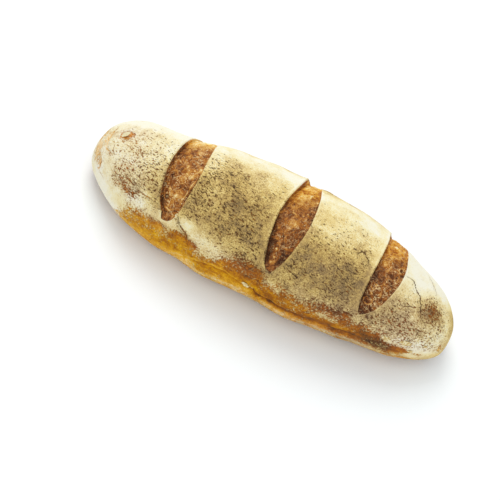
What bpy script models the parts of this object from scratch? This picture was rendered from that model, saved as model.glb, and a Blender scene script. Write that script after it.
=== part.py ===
"""Long crusty loaf: floured, hearth-baked, with three slashes that opened across its top.

Metres, +Z up, +X along the loaf, origin on the floor under the middle of its bounding box.
Crust and slashes are one solid. A place on the crust is given by x, its distance along the
loaf, and by its angle round it: 0 at the crest, -90 degrees on the near side (-Y), +90 on the
far side (+Y) and 180 under the base.

The solid starts as a sphere with its poles at the ends of the loaf. Its rings are bent so
that they run along the rims of the slashes, and every vertex is then moved to the surface
that the functions below describe.
"""

import math
from typing import NamedTuple

import bmesh
import bpy
import numpy as np

# Driving dimensions of the loaf
LENGTH = 0.280
HALF_WIDTH = 0.0473
HEIGHT = 0.0722              # of the round dough, before its base sat down on the oven floor
BASE_CUT = 0.0035            # how much of the round dough the flat base takes away
WAIST = 0.36                 # height of the widest line, as a share of HEIGHT
END_LIFT = 0.015             # how far the ends curl up off the floor
BEND = 0.0041                # how far the ends bow towards the back
SIDE_SHIFT = 0.0001          # sideways, to centre the bounding box
END_POWER = 2.0              # the two powers set how bluntly the ends close
END_ROUNDING = 2.58
SIDE_POWER = 2.2             # superellipse power of the cross-section, side to side
BASE_POWER = 3.0             # the same, under the widest line

# Driving dimensions of the slashes
FLAP_LENGTH = 0.011          # the lifted crust to the left of a slash
FLAP_LIFT = 0.0012
WALL = 0.0009                # width of the torn wall under each rim
WALL_SHARE = 0.3             # and the most it takes of a slash's width near the tips
LEFT_DEPTH = 0.0030          # of the slash's floor under the flap
RIGHT_DEPTH = 0.0014         # of the floor at the right rim
TIP_FADE = 0.12              # share of a slash's length in which its depth dies out
LIP = 0.0035                 # width of crust beside a rim that has a ring of its own
NARROWEST = 0.10             # share of its full width that a slash keeps at its tips
FAR_WIDTH = 0.55             # share of it that the rings keep beyond the tips
FAR_FADE = 45.0              # degrees beyond a tip over which they spread to that width

# Driving dimensions of the crease that burst along the near side
CREASE_START = -0.006
CREASE_END = 0.084
CREASE_SLOPE = 0.062         # length over which it sinks
CREASE_ANGLE = -82.4         # where it starts
CREASE_DROP = 11.8           # degrees that it sinks
CREASE_DEPTH = 0.0018
CREASE_WIDTH = 3.8           # degrees
CREASE_FADE_IN = 0.20        # shares of its length over which it opens and closes
CREASE_FADE_OUT = 0.33
CREASE_LIP = 0.0009          # height of the swollen lip above the groove
CREASE_LIP_PLACE = 2.5       # where the lip is and how wide, in widths of the groove
CREASE_LIP_WIDTH = 1.8

LUMP_HEIGHT = 0.00022        # gentle unevenness of hand-shaped dough
LUMP_WAVES = ((0.071, 1, 0.4), (0.044, 2, 2.1), (0.053, -3, 4.0), (0.034, -1, 5.2))

AROUND = 66                  # vertices in each ring
LEFT_END_RINGS = 20
RIGHT_END_RINGS = 15
BETWEEN_RINGS = (9, 8)
SLASH_RINGS = (1, 1, 6, 1, 1)
END_CROWDING = 2.2           # rings crowd towards the poles by this power
POLE_FADE = 0.0056           # length at each pole over which the relief dies out

CRUST_COLOUR = (0.55, 0.39, 0.18, 1.0)
SLASH_COLOUR = (0.29, 0.12, 0.04, 1.0)


class Slash(NamedTuple):
    """One slash: its tips, and how far its rims bow out from the line between them."""

    near_x: float
    near_angle: float
    far_x: float
    far_angle: float
    widest: float            # where it is widest, as a share of the way from the near tip
    left_bow: float
    right_bow: float
    near_bluntness: float    # superellipse powers of its outline towards each tip
    far_bluntness: float


class Bulge(NamedTuple):
    """A broad swelling (or hollow, if its height is negative) of the hand-shaped dough."""

    x: float
    angle: float
    height: float


SLASHES = (
    Slash(-0.0610, -67.5, -0.0720, 52.0, 0.42, 0.0128, 0.0107, 2.1, 1.60),
    Slash(0.0135, -61.0, 0.0085, 57.0, 0.41, 0.0113, 0.0107, 1.7, 1.45),
    Slash(0.0760, -58.0, 0.0720, 60.0, 0.42, 0.0027, 0.0166, 1.8, 1.90),
)

BULGES = (
    Bulge(-0.118, 50.0, 0.0027), Bulge(-0.090, 50.0, -0.0041), Bulge(-0.062, 50.0, -0.0029),
    Bulge(-0.030, 50.0, 0.0015), Bulge(0.005, 50.0, -0.0018), Bulge(0.040, 50.0, 0.0027),
    Bulge(0.108, 50.0, -0.0010),
    Bulge(-0.118, -95.0, -0.0021), Bulge(-0.090, -95.0, 0.0046), Bulge(-0.030, -95.0, 0.0014),
    Bulge(0.005, -95.0, -0.0023), Bulge(0.040, -95.0, -0.0008), Bulge(0.075, -95.0, -0.0032),
    Bulge(0.108, -95.0, -0.0014),
)
BULGE_LENGTH = 0.030
BULGE_ANGLE = 45.0


def smooth(share):
    """Ease a value from 0 to 1, flat at both ends."""
    share = np.clip(share, 0.0, 1.0)
    return share * share * (3.0 - 2.0 * share)


def round_dough(x, angle):
    """Point of the plain round dough: a superellipse that narrows and lifts to the ends."""
    along = np.clip(x / (LENGTH / 2), -1.0, 1.0)
    fullness = (1.0 - np.abs(along) ** END_POWER) ** (1.0 / END_ROUNDING)
    up, side = np.cos(np.radians(angle)), np.sin(np.radians(angle))
    y = HALF_WIDTH * fullness * np.sign(side) * np.abs(side) ** (2.0 / SIDE_POWER)
    y = y + BEND * along ** 2 - SIDE_SHIFT
    above = WAIST + (1.0 - WAIST) * np.abs(up)
    below = WAIST * (1.0 - np.abs(up) ** (2.0 / BASE_POWER))
    z = HEIGHT * fullness * np.where(up > 0.0, above, below)
    z = z + END_LIFT * (1.0 - fullness) - BASE_CUT
    return np.stack([x + 0.0 * y, y, z], axis=-1)


def outward(x, angle):
    """Unit normal of the plain dough, from the cross product of its two directions."""
    step_x, step_angle = 2e-5, 0.02
    along = round_dough(x + step_x, angle) - round_dough(x - step_x, angle)
    around = round_dough(x, angle + step_angle) - round_dough(x, angle - step_angle)
    normal = np.cross(along, around)
    length = np.linalg.norm(normal, axis=-1, keepdims=True)
    return normal / np.maximum(length, 1e-15)


def slash_share(slash, angle):
    """How far along a slash an angle lies: 0 at its near tip and 1 at its far one."""
    return (angle - slash.near_angle) / (slash.far_angle - slash.near_angle)


def slash_outline(slash, angle):
    """Width of a slash at an angle, as a share of its full width."""
    share = slash_share(slash, angle)
    before = np.clip((slash.widest - share) / slash.widest, 0.0, 1.0)
    after = np.clip((share - slash.widest) / (1.0 - slash.widest), 0.0, 1.0)
    near = (1.0 - before ** slash.near_bluntness) ** (1.0 / slash.near_bluntness)
    far = (1.0 - after ** slash.far_bluntness) ** (1.0 / slash.far_bluntness)
    inside = np.maximum(near * far, NARROWEST)
    beyond = np.maximum(slash.near_angle - angle, angle - slash.far_angle)
    outside = NARROWEST + (FAR_WIDTH - NARROWEST) * smooth(beyond / FAR_FADE)
    return np.where(beyond > 0.0, outside, inside)


def slash_rims(slash, angle):
    """The x of a slash's left and right rim at an angle."""
    share = np.clip(slash_share(slash, angle), 0.0, 1.0)
    middle = slash.near_x + (slash.far_x - slash.near_x) * share
    width = slash_outline(slash, angle)
    return middle - slash.left_bow * width, middle + slash.right_bow * width


def slash_relief(slash, x, angle):
    """Height of a slash's flap, walls and swollen floor above the plain dough."""
    left, right = slash_rims(slash, angle)
    share = slash_share(slash, angle)
    strength = smooth(np.minimum(share, 1.0 - share) / TIP_FADE)
    across = (x - left) / (right - left)
    wall = np.minimum(WALL, WALL_SHARE * (right - left))
    within = smooth((x - left) / wall) * smooth((right - x) / wall)
    floor = -LEFT_DEPTH * (1.0 - across) ** 2 - RIGHT_DEPTH * across ** 2
    flap = FLAP_LIFT * np.exp(-np.clip(left - x, 0.0, None) / FLAP_LENGTH)
    flap = flap * (x < left + wall)
    return strength * np.where(within > 0.0, floor * within + flap * (1.0 - within), flap)


def crease_relief(x, angle):
    """The crease low on the near side: a groove with a swollen lip above it."""
    share = (x - CREASE_START) / (CREASE_END - CREASE_START)
    strength = smooth(share / CREASE_FADE_IN) * smooth((1.0 - share) / CREASE_FADE_OUT)
    middle = CREASE_ANGLE - CREASE_DROP * smooth(x / CREASE_SLOPE)
    offset = (angle - middle) / CREASE_WIDTH
    groove = -CREASE_DEPTH * np.exp(-offset ** 2)
    lip = CREASE_LIP * np.exp(-((offset - CREASE_LIP_PLACE) / CREASE_LIP_WIDTH) ** 2)
    return strength * (groove + lip)


def broad_relief(x, angle):
    """Swellings and lumps of the dough, as Gaussian hills and slow waves."""
    height = 0.0 * x
    for bulge in BULGES:
        turn = (angle - bulge.angle + 180.0) % 360.0 - 180.0
        hill = np.exp(-((x - bulge.x) / BULGE_LENGTH) ** 2 - (turn / BULGE_ANGLE) ** 2)
        height = height + bulge.height * hill
    for wavelength, lobes, phase in LUMP_WAVES:
        wave = np.sin(2.0 * math.pi * x / wavelength + lobes * np.radians(angle) + phase)
        height = height + LUMP_HEIGHT * wave
    return height


def loaf_point(x, angle):
    """Point of the finished crust: the dough moved by all of its relief, on a flat base."""
    height = broad_relief(x, angle) + crease_relief(x, angle)
    for slash in SLASHES:
        height = height + slash_relief(slash, x, angle)
    height = height * np.clip((LENGTH / 2 - np.abs(x)) / POLE_FADE, 0.0, 1.0)
    point = round_dough(x, angle) + outward(x, angle) * height[..., None]
    point[..., 2] = np.maximum(point[..., 2], 0.0)
    return point


def ring_lines(angle):
    """The x of each named line that rings follow, from pole to pole, and the rings between."""
    lines = [-LENGTH / 2 + 0.0 * angle]
    counts = [LEFT_END_RINGS]
    for place, slash in enumerate(SLASHES):
        left, right = slash_rims(slash, angle)
        wall = np.minimum(WALL, WALL_SHARE * (right - left))
        lines += [left - LIP, left, left + wall, right - wall, right, right + LIP]
        counts += SLASH_RINGS
        counts.append(BETWEEN_RINGS[place] if place < len(BETWEEN_RINGS) else RIGHT_END_RINGS)
    lines.append(LENGTH / 2 + 0.0 * angle)
    return lines, counts


def ring_x(ring, angle):
    """The x of a ring at an angle, between the two named lines on either side of it."""
    lines, counts = ring_lines(angle)
    x = 0.0 * angle
    start = 0
    for place, count in enumerate(counts):
        share = np.clip((ring - start) / count, 0.0, 1.0)
        if place == 0:
            share = share ** END_CROWDING
        if place == len(counts) - 1:
            share = 1.0 - (1.0 - share) ** END_CROWDING
        here = (ring >= start) & (ring <= start + count)
        x = np.where(here, lines[place] + (lines[place + 1] - lines[place]) * share, x)
        start += count
    return x


def ring_total():
    """How many steps there are from one pole of the loaf to the other."""
    _, counts = ring_lines(np.zeros(1))
    return sum(counts)


def crust_material(name, colour, roughness):
    """A plain baked finish."""
    material = bpy.data.materials.new(name)
    material.use_nodes = True
    shader = material.node_tree.nodes["Principled BSDF"]
    shader.inputs["Base Color"].default_value = colour
    shader.inputs["Roughness"].default_value = roughness
    shader.inputs["Metallic"].default_value = 0.0
    return material


def shape_loaf(mesh):
    """Turn a sphere into the loaf, and mark the faces that lie in a slash."""
    total = ring_total()
    body = bmesh.new()
    bmesh.ops.create_uvsphere(body, u_segments=AROUND, v_segments=total, radius=1.0)
    places = np.array([vertex.co for vertex in body.verts])
    ring = np.round(np.arccos(np.clip(places[:, 2], -1.0, 1.0)) * total / math.pi)
    angle = np.degrees(np.arctan2(places[:, 1], places[:, 0]))
    x = ring_x(ring, angle)
    points = loaf_point(x, angle)
    for vertex, point in zip(body.verts, points):
        vertex.co = point
    for face in body.faces:
        corners = [vertex.index for vertex in face.verts]
        face.material_index = int(in_a_slash(x[corners].mean(), angle[corners].mean()))
        face.smooth = True
    bmesh.ops.triangulate(body, faces=body.faces)
    body.to_mesh(mesh)
    body.free()


def in_a_slash(x, angle):
    """Whether a place lies between the rims of a slash."""
    for slash in SLASHES:
        left, right = slash_rims(slash, angle)
        if slash.near_angle < angle < slash.far_angle and left < x < right:
            return True
    return False


def main():
    """Clear the file and build the loaf in a collection of its own."""
    for old in list(bpy.data.objects):
        bpy.data.objects.remove(old, do_unlink=True)
    collection = bpy.data.collections.new("long_crusty_loaf")
    bpy.context.scene.collection.children.link(collection)
    mesh = bpy.data.meshes.new("loaf")
    mesh.materials.append(crust_material("floured_crust", CRUST_COLOUR, 0.85))
    mesh.materials.append(crust_material("baked_slash", SLASH_COLOUR, 0.60))
    shape_loaf(mesh)
    collection.objects.link(bpy.data.objects.new("loaf", mesh))


main()
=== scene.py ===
"""Looks of the long crusty loaf: one floured crust, torn open by three slashes.

Metres, +Z up, +X along the loaf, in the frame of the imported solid. A place on the crust is
(x, angle): x runs along the loaf, and the angle runs round it in degrees, 0 at the crest, -90 on
the near side (-Y), +90 on the far side (+Y) and 180 under the base. Charts of the crust give x in
millimetres, because that is how a baker would mark a loaf.
"""

import itertools
import logging
import math
from dataclasses import dataclass
from enum import Enum, IntEnum

import bpy
import numpy as np
from mathutils import Matrix, Vector


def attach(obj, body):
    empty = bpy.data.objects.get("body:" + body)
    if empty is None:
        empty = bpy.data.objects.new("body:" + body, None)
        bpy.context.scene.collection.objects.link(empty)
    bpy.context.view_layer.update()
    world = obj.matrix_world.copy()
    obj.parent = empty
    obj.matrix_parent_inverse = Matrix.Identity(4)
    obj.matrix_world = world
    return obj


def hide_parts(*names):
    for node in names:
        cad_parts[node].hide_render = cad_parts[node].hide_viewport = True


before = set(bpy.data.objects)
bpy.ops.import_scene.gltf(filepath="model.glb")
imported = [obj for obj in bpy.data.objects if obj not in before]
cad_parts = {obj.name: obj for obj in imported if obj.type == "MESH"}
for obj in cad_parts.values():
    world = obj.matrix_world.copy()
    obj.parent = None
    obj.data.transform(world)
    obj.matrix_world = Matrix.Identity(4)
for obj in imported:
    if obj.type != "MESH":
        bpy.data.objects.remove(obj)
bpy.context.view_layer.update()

LOG = logging.getLogger("crusty_loaf")
PHOTO_WIDTH = 500                # pixels of the photograph, which is square
MM = 0.001
ARC = 0.78                       # millimetres of crust in one degree round the loaf
FAR = 1e3                        # further than any place on the loaf
NOISE_MIDDLE = 0.5               # what a noise node gives on average
MIX_SHARE, MIX_FIRST, MIX_SECOND, MIX_RESULT = 0, 6, 7, 2  # sockets of a mix of two colours

# odd multipliers that scatter the corners of a lattice, and bits that stir them
SCATTER = np.array([374761393, 668265263, 2246822519], dtype=np.uint32)
SEED_STEP, STIR = 40503, np.uint32(1274126177)
FIRST_SHIFT, LAST_SHIFT = np.uint32(13), np.uint32(16)
PATTERN_STEP = 17.3              # lattice cells between the patterns of two seeds

Array = np.ndarray
Knots = tuple[tuple[float, float], ...]
Rows = tuple[tuple[float, ...], ...]
Stops = tuple[tuple[float, str], ...]         # position and sRGB colour, along a ramp
Range = tuple[float, ...]                     # low and high, and what those become
Numbers = tuple[float, ...]                   # what their comment says, in its order
Faces = list[tuple[int, ...]]
Socket = bpy.types.NodeSocket
Value = Socket | float | tuple[float, ...]    # a link, or a plain value


class Seed(IntEnum):
    """Which random pattern each kind of unevenness takes."""

    SKIN = 11
    PLATES = 21
    WRINKLES = 27
    FLOUR_EDGE = 31
    BLOTCHES = 41
    ROPES = 51
    STRANDS = 61
    GRAIN = 71
    GOLD_EDGE = 75
    CLOUDS = 77
    CREASE = 81
    MARKS_ALONG = 91
    MARKS_ROUND = 95
    FLAKES = 200


def linear_colour(hex_code: str) -> tuple[float, float, float, float]:
    """Turn an sRGB hex colour into the linear RGBA that shaders take.

    Args:
        hex_code: Six hex digits after a hash.

    Returns:
        Linear red, green and blue, with an alpha of 1.
    """
    shares = [int(hex_code[start:start + 2], 16) / 255.0 for start in (1, 3, 5)]
    linear = [s / 12.92 if s <= 0.04045 else ((s + 0.055) / 1.055) ** 2.4 for s in shares]
    return (*linear, 1.0)


def feed(tree: bpy.types.NodeTree, node: bpy.types.Node, inputs: dict[str | int, Value]) -> None:
    """Link the inputs that get a socket, and set those that get a plain value."""
    for name, value in inputs.items():
        if isinstance(value, Socket):
            tree.links.new(value, node.inputs[name])
        else:
            node.inputs[name].default_value = value


def add_node(
    tree: bpy.types.NodeTree,
    kind: str,
    inputs: dict[str | int, Value] | None = None,
    **settings: object,
) -> bpy.types.Node:
    """Add a node, give it its settings and feed its inputs.

    Args:
        tree: The node tree that takes the node.
        kind: Blender's name of the node type, after "ShaderNode".
        inputs: Plain values and sockets, by the input's name or number.
        settings: The node's properties; "stops" fills a colour ramp.

    Returns:
        The new node.
    """
    node = tree.nodes.new("ShaderNode" + kind)
    stops = settings.pop("stops", ())
    for name, value in settings.items():
        setattr(node, name, value)
    for number, (position, colour) in enumerate(stops):
        elements = node.color_ramp.elements
        element = elements[number] if number < len(elements) else elements.new(position)
        element.position, element.color = position, linear_colour(colour)
    feed(tree, node, inputs or {})
    return node


class Finish:
    """A new material, with one short call for each kind of node that it is made from."""

    def __init__(self, name: str) -> None:
        """Make the material, with its shader and the piece's own coordinates."""
        self.material = bpy.data.materials.new(name)
        self.material.use_nodes = True
        self.tree = self.material.node_tree
        self.place = add_node(self.tree, "TexCoord").outputs["Object"]

    def charted(self, name: str) -> Socket:
        """Read an attribute that the mesh carries."""
        return add_node(self.tree, "Attribute", attribute_name=name).outputs["Fac"]

    def noise(self, pitch: float, detail: float = 2.0, roughness: float = 0.5,
              distortion: float = 0.0, at: Socket | None = None) -> Socket:
        """Cloudy noise whose patches lie about one pitch apart, in metres."""
        return add_node(self.tree, "TexNoise", {
            "Scale": 1.0 / pitch, "Detail": detail, "Roughness": roughness,
            "Distortion": distortion, "Vector": self.place if at is None else at,
        }).outputs["Fac"]

    def bent(self, noise: Socket, reach: float) -> Socket:
        """The piece's coordinates, pushed about by the three colours of a noise."""
        inputs = {0: noise.node.outputs["Color"], 1: (reach,) * 3, 2: self.place}
        return add_node(self.tree, "VectorMath", inputs, operation="MULTIPLY_ADD").outputs[0]

    def drawn_out(self, at: Socket, stretch: float, turn: float) -> Socket:
        """Coordinates drawn out along a line that lies some degrees off the loaf's length."""
        inputs = {"Vector": at, "Scale": (stretch, 1.0, 1.0),
                  "Rotation": (0.0, 0.0, math.radians(turn))}
        return add_node(self.tree, "Mapping", inputs, vector_type="TEXTURE").outputs[0]

    def math(self, operation: str, *values: Value, clamp: bool = False) -> Socket:
        """Do one sum with values in the order that Blender's operation takes them."""
        inputs = dict(enumerate(values))
        return add_node(self.tree, "Math", inputs, operation=operation,
                        use_clamp=clamp).outputs[0]

    def scaled(self, value: Value, factor: float, more: Value, clamp: bool = False) -> Socket:
        """The sum value * factor + more."""
        return self.math("MULTIPLY_ADD", value, factor, more, clamp=clamp)

    def centred(self, value: Socket, middle: float = NOISE_MIDDLE) -> Socket:
        """A noise that swings about 0."""
        return self.math("SUBTRACT", value, middle)

    def ranged(self, value: Socket, low: float, high: float, bottom: float = 0.0,
               top: float = 1.0, kind: str = "LINEAR") -> Socket:
        """Map low to bottom and high to top, and stay between those."""
        inputs = {"Value": value, "From Min": low, "From Max": high, "To Min": bottom,
                  "To Max": top}
        return add_node(self.tree, "MapRange", inputs, interpolation_type=kind).outputs[0]

    def eased(self, value: Socket, low: float, high: float, top: float = 1.0) -> Socket:
        """An eased step from 0 at low to top at high."""
        return self.ranged(value, low, high, 0.0, top, "SMOOTHSTEP")

    def ramp(self, share: Socket, stops: Stops) -> Socket:
        """Colours along a ramp."""
        return add_node(self.tree, "ValToRGB", {"Fac": share}, stops=stops).outputs["Color"]

    def mix(self, share: Socket, first: Value, second: Value) -> Socket:
        """A blend of two colours."""
        inputs = {MIX_SHARE: share, MIX_FIRST: first, MIX_SECOND: second}
        return add_node(self.tree, "Mix", inputs, data_type="RGBA").outputs[MIX_RESULT]

    def bump(self, height: Socket, depth: float, strength: float = 1.0) -> Socket:
        """Shading as if the surface rose by a height of 1 to a depth in metres."""
        inputs = {"Height": height, "Distance": depth, "Strength": strength}
        return add_node(self.tree, "Bump", inputs).outputs["Normal"]

    def dress(self, inputs: dict[str, Value]) -> bpy.types.Material:
        """Feed the shader, and return the material."""
        feed(self.tree, self.tree.nodes["Principled BSDF"], inputs)
        return self.material


def put_in_scene(name: str, data: bpy.types.ID) -> bpy.types.Object:
    """Make an object of a mesh, light or camera, and show it."""
    thing = bpy.data.objects.new(name, data)
    bpy.context.scene.collection.objects.link(thing)
    return thing


def make_mesh(name: str, places: Array, faces: Faces, **attributes: Array) -> bpy.types.Mesh:
    """Make a mesh, whose attributes give one number for each vertex."""
    mesh = bpy.data.meshes.new(name)
    mesh.from_pydata(places, [], faces)
    for attribute, values in attributes.items():
        stored = mesh.attributes.new(attribute, "FLOAT", "POINT")
        stored.data.foreach_set("value", values.astype(np.float32))
    return mesh


def grid_quads(rows: int, columns: int, closed: bool = False) -> Array:
    """Quads between the points of a grid, which may close from its last column to its first."""
    joined = columns if closed else columns - 1
    row, column = np.meshgrid(np.arange(rows - 1), np.arange(joined), indexing="ij")
    after = (column + 1) % columns
    quads = np.stack([row * columns + column, (row + 1) * columns + column,
                      (row + 1) * columns + after, row * columns + after], axis=-1)
    return quads.reshape(-1, 4)


def smooth(share: Array) -> Array:
    """Ease a value from 0 to 1, flat at both ends."""
    share = np.clip(share, 0.0, 1.0)
    return share * share * (3.0 - 2.0 * share)


def fade_out(distance: Array, reach: float) -> Array:
    """1 near a line, easing to 0 from half its reach on."""
    return smooth((1.0 - np.abs(distance) / reach) * 2.0)


def along_knots(place: Array, knots: Knots) -> Array:
    """Read a value off straight lines between knots of (place, value)."""
    places, values = zip(*knots)
    return np.interp(place, places, values)


def along_curve(place: Array, knots: Knots) -> Array:
    """Read a smooth curve through knots of (place, value), level beyond its ends.

    Between two knots it is the cubic with their slopes. A knot's slope is the harmonic mean of
    the two steps beside it, or 0 where they run opposite ways, so the curve doesn't overshoot.
    """
    at, value = np.array(knots, dtype=float).T
    step = np.diff(at)
    rise = np.diff(value) / step
    same = rise[1:] * rise[:-1] > 0.0
    total = np.where(same, rise[1:] + rise[:-1], 1.0)
    inner = np.where(same, 2.0 * rise[1:] * rise[:-1] / total, 0.0)
    slope = np.concatenate([rise[:1], inner, rise[-1:]])
    place = np.clip(place, at[0], at[-1])
    piece = np.clip(np.searchsorted(at, place) - 1, 0, len(step) - 1)
    share = (place - at[piece]) / step[piece]
    start, end = slope[piece] * step[piece], slope[piece + 1] * step[piece]
    blend = smooth(share)
    bend = share * (1.0 - share) * (start * (1.0 - share) - end * share)
    return value[piece] + (value[piece + 1] - value[piece]) * blend + bend


def lumps(points: Array, size: float, seed: int) -> Array:
    """Smooth random heights from -1 to 1, with lumps about one size across.

    A random value sits at each corner of a cubic lattice of that pitch, hashed from the corner's
    whole-number coordinates, and a point takes the eased blend of the eight corners round it.

    Args:
        points: Places in metres, xyz on the last axis.
        size: Pitch of the lattice in metres.
        seed: Picks one of many patterns.

    Returns:
        One height for each point.
    """
    place = points / size + PATTERN_STEP * seed
    cell = np.floor(place).astype(np.int64)
    share = smooth(place - cell)
    total = np.zeros(points.shape[:-1])
    for corner in itertools.product((0, 1), repeat=3):
        at = (cell + np.array(corner)).astype(np.uint32)
        mixed = (at * SCATTER).sum(axis=-1, dtype=np.uint32) + np.uint32(seed * SEED_STEP)
        mixed = (mixed ^ (mixed >> FIRST_SHIFT)) * STIR
        mixed = mixed ^ (mixed >> LAST_SHIFT)
        value = mixed.astype(np.float64) / 2.0 ** 31 - 1.0
        weight = np.where(np.array(corner) == 1, share, 1.0 - share).prod(axis=-1)
        total = total + value * weight
    return total


def layered_lumps(points: Array, size: float, seed: int, layers: int = 3) -> Array:
    """Lumps of several sizes added up, each half as large and half as high as the one before."""
    heights = [lumps(points, size / 2 ** k, seed + k) / 2 ** k for k in range(layers)]
    return np.sum(heights, axis=0)


def ropes(points: Array, size: float, seed: int, bend: float = 0.45, spread: float = 1.7,
          sharpness: float = 2.6) -> Array:
    """Rounded winding ridges: 1 - sharpness * |lumps|, so high where smooth lumps cross zero.

    Args:
        points: Places in metres, xyz on the last axis.
        size: How far the ridges lie apart, in metres.
        seed: Picks one of many patterns.
        bend: How far they wind, as a share of their size.
        spread: Size of their windings, as a share of it.
        sharpness: How narrow they are.

    Returns:
        One height from 0 to 1 for each point.
    """
    wander = np.stack([lumps(points, spread * size, seed + k) for k in (1, 2, 3)], axis=-1)
    crossing = np.abs(lumps(points + bend * size * wander, size, seed))
    return np.clip(1.0 - sharpness * crossing, 0.0, 1.0)


@dataclass(frozen=True)
class Dough:
    """The plain loaf before slashing: a superellipse section that narrows and lifts to its ends."""

    length: float = 0.280
    half_width: float = 0.0473
    height: float = 0.0722       # of the round dough, before its base sat down on the oven floor
    base_cut: float = 0.0035     # how much of it the flat base takes away
    waist: float = 0.36          # height of the widest line, as a share of the height
    end_lift: float = 0.015      # how far the ends curl up off the floor
    bend: float = 0.0041         # how far the ends bow towards the back
    side_shift: float = 0.0001
    end_power: float = 2.0
    end_rounding: float = 2.58
    side_power: float = 2.2
    base_power: float = 3.0
    pole_fade: float = 0.0056    # length at each end over which all relief dies out

    def point(self, x: Array, angle: Array) -> Array:
        """Point of the plain dough.

        Fullness is (1 - (2x/length)^end_power)^(1/end_rounding). Sideways the section is
        half_width * fullness * sin^(2/side_power) of the angle. Upwards it is height * fullness
        times waist + (1 - waist) * cos above the widest line, and times
        waist * (1 - |cos|^(2/base_power)) below it.
        """
        along = np.clip(x / (self.length / 2), -1.0, 1.0)
        fullness = (1.0 - np.abs(along) ** self.end_power) ** (1.0 / self.end_rounding)
        up, side = np.cos(np.radians(angle)), np.sin(np.radians(angle))
        y = self.half_width * fullness * np.sign(side) * np.abs(side) ** (2.0 / self.side_power)
        y = y + self.bend * along ** 2 - self.side_shift
        above = self.waist + (1.0 - self.waist) * np.abs(up)
        below = self.waist * (1.0 - np.abs(up) ** (2.0 / self.base_power))
        z = self.height * fullness * np.where(up > 0.0, above, below)
        z = z + self.end_lift * (1.0 - fullness) - self.base_cut
        return np.stack([x + 0.0 * y, y, z], axis=-1)

    def outward(self, x: Array, angle: Array) -> Array:
        """Unit normal of the plain dough: the cross product of small steps along and around."""
        step_x, step_angle, tiny = 2e-5, 0.02, 1e-15
        along = self.point(x + step_x, angle) - self.point(x - step_x, angle)
        around = self.point(x, angle + step_angle) - self.point(x, angle - step_angle)
        normal = np.cross(along, around)
        return normal / np.maximum(np.linalg.norm(normal, axis=-1, keepdims=True), tiny)


@dataclass(frozen=True)
class Slash:
    """One slash: its rims from tip to tip, how its flap lifts and how its floor lies."""

    left: Knots                  # (degrees, millimetres along), from the near tip to the far one
    right: Knots
    far_lift: float              # metres that the flap stands up at the far end
    far_depth: float             # metres that the floor lies deep there, under the flap
    narrowest: float = 0.15      # millimetres that each rim keeps from the other at the tips
    spread: float = 6.5          # millimetres that the rings spread out to beyond the tips
    far_fade: float = 45.0       # degrees beyond a tip over which they do so
    tip_fade: float = 0.12       # share of its length in which its depth dies out

    def share(self, angle: Array) -> Array:
        """How far along the slash an angle lies: 0 at its near tip and 1 at its far one."""
        return (angle - self.left[0][0]) / (self.left[-1][0] - self.left[0][0])

    def rims(self, angle: Array) -> tuple[Array, Array]:
        """The x of the left and right rim at an angle."""
        beyond = np.maximum(self.left[0][0] - angle, angle - self.left[-1][0])
        apart = self.narrowest + self.spread * smooth(beyond / self.far_fade)
        left, right = (along_curve(angle, places) for places in (self.left, self.right))
        return (left - apart) * MM, (right + apart) * MM

    def strength(self, angle: Array) -> Array:
        """How open the slash is at an angle: 1, easing to 0 at and beyond its tips."""
        share = self.share(angle)
        return smooth(np.minimum(share, 1.0 - share) / self.tip_fade)

    def open_here(self, angle: Array) -> Array:
        """Whether an angle lies between the tips."""
        return (angle > self.left[0][0]) & (angle < self.left[-1][0])


SLASHES = (
    Slash(left=((-68.5, -63.9), (-67.6, -65.9), (-65.5, -66.9), (-62, -67.9), (-57.5, -70.1),
                (-52.5, -72.6), (-46, -74.5), (-37, -76.4), (-24, -78.5), (-10, -79.9),
                (6, -80.4), (20, -80.3), (34, -79.2), (48, -77.2), (58, -75.2), (65, -70.4)),
          right=((-68.5, -63.4), (-67.2, -60.8), (-64.4, -58.6), (-60.5, -57.2), (-54, -55.9),
                 (-45, -55.3), (-30, -55.2), (-20, -55.5), (-10, -56.5), (2, -58.2),
                 (12, -59.5), (24, -60.7), (42, -62.2), (54, -64.4), (60, -66.6), (65, -69.8)),
          far_lift=0.0006, far_depth=0.0006),
    Slash(left=((-60.4, 14.0), (-60.0, 11.6), (-58.2, 9.4), (-55, 7.7), (-48.5, 6.0),
                (-41.5, 4.4), (-34.5, 2.9), (-27, 1.8), (-20, 0.8), (-11, 0.0), (-2, 0.1),
                (8, 0.9), (22, 2.0), (34, 2.4), (48, 2.8), (58, 4.4), (66, 8.8)),
          right=((-60.4, 14.6), (-58.6, 15.7), (-56, 16.8), (-52.5, 18.0), (-47, 19.5),
                 (-40, 20.8), (-30, 21.9), (-19, 22.8), (-11, 22.8), (-2, 21.9), (8, 20.4),
                 (18, 18.9), (30, 16.8), (40, 15.6), (52, 14.2), (60, 12.4), (66, 9.4)),
          far_lift=0.0026, far_depth=0.0030),
    Slash(left=((-57.7, 78.2), (-57.0, 76.8), (-55, 75.3), (-50, 73.8), (-43.8, 72.7),
                (-35, 72.0), (-24, 71.4), (-12, 71.1), (2, 70.9), (14, 70.5), (28, 69.7),
                (42, 69.0), (56, 69.8), (62, 71.8), (66, 75.0)),
          right=((-57.7, 78.6), (-56.2, 79.7), (-53, 81.7), (-48.5, 84.0), (-42, 86.1),
                 (-34, 87.9), (-25, 89.3), (-14, 90.5), (-5, 90.9), (4, 90.2), (14, 88.7),
                 (26, 87.0), (38, 85.3), (50, 82.6), (60, 79.4), (66, 75.6)),
          far_lift=0.0013, far_depth=0.0034),
)


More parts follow.
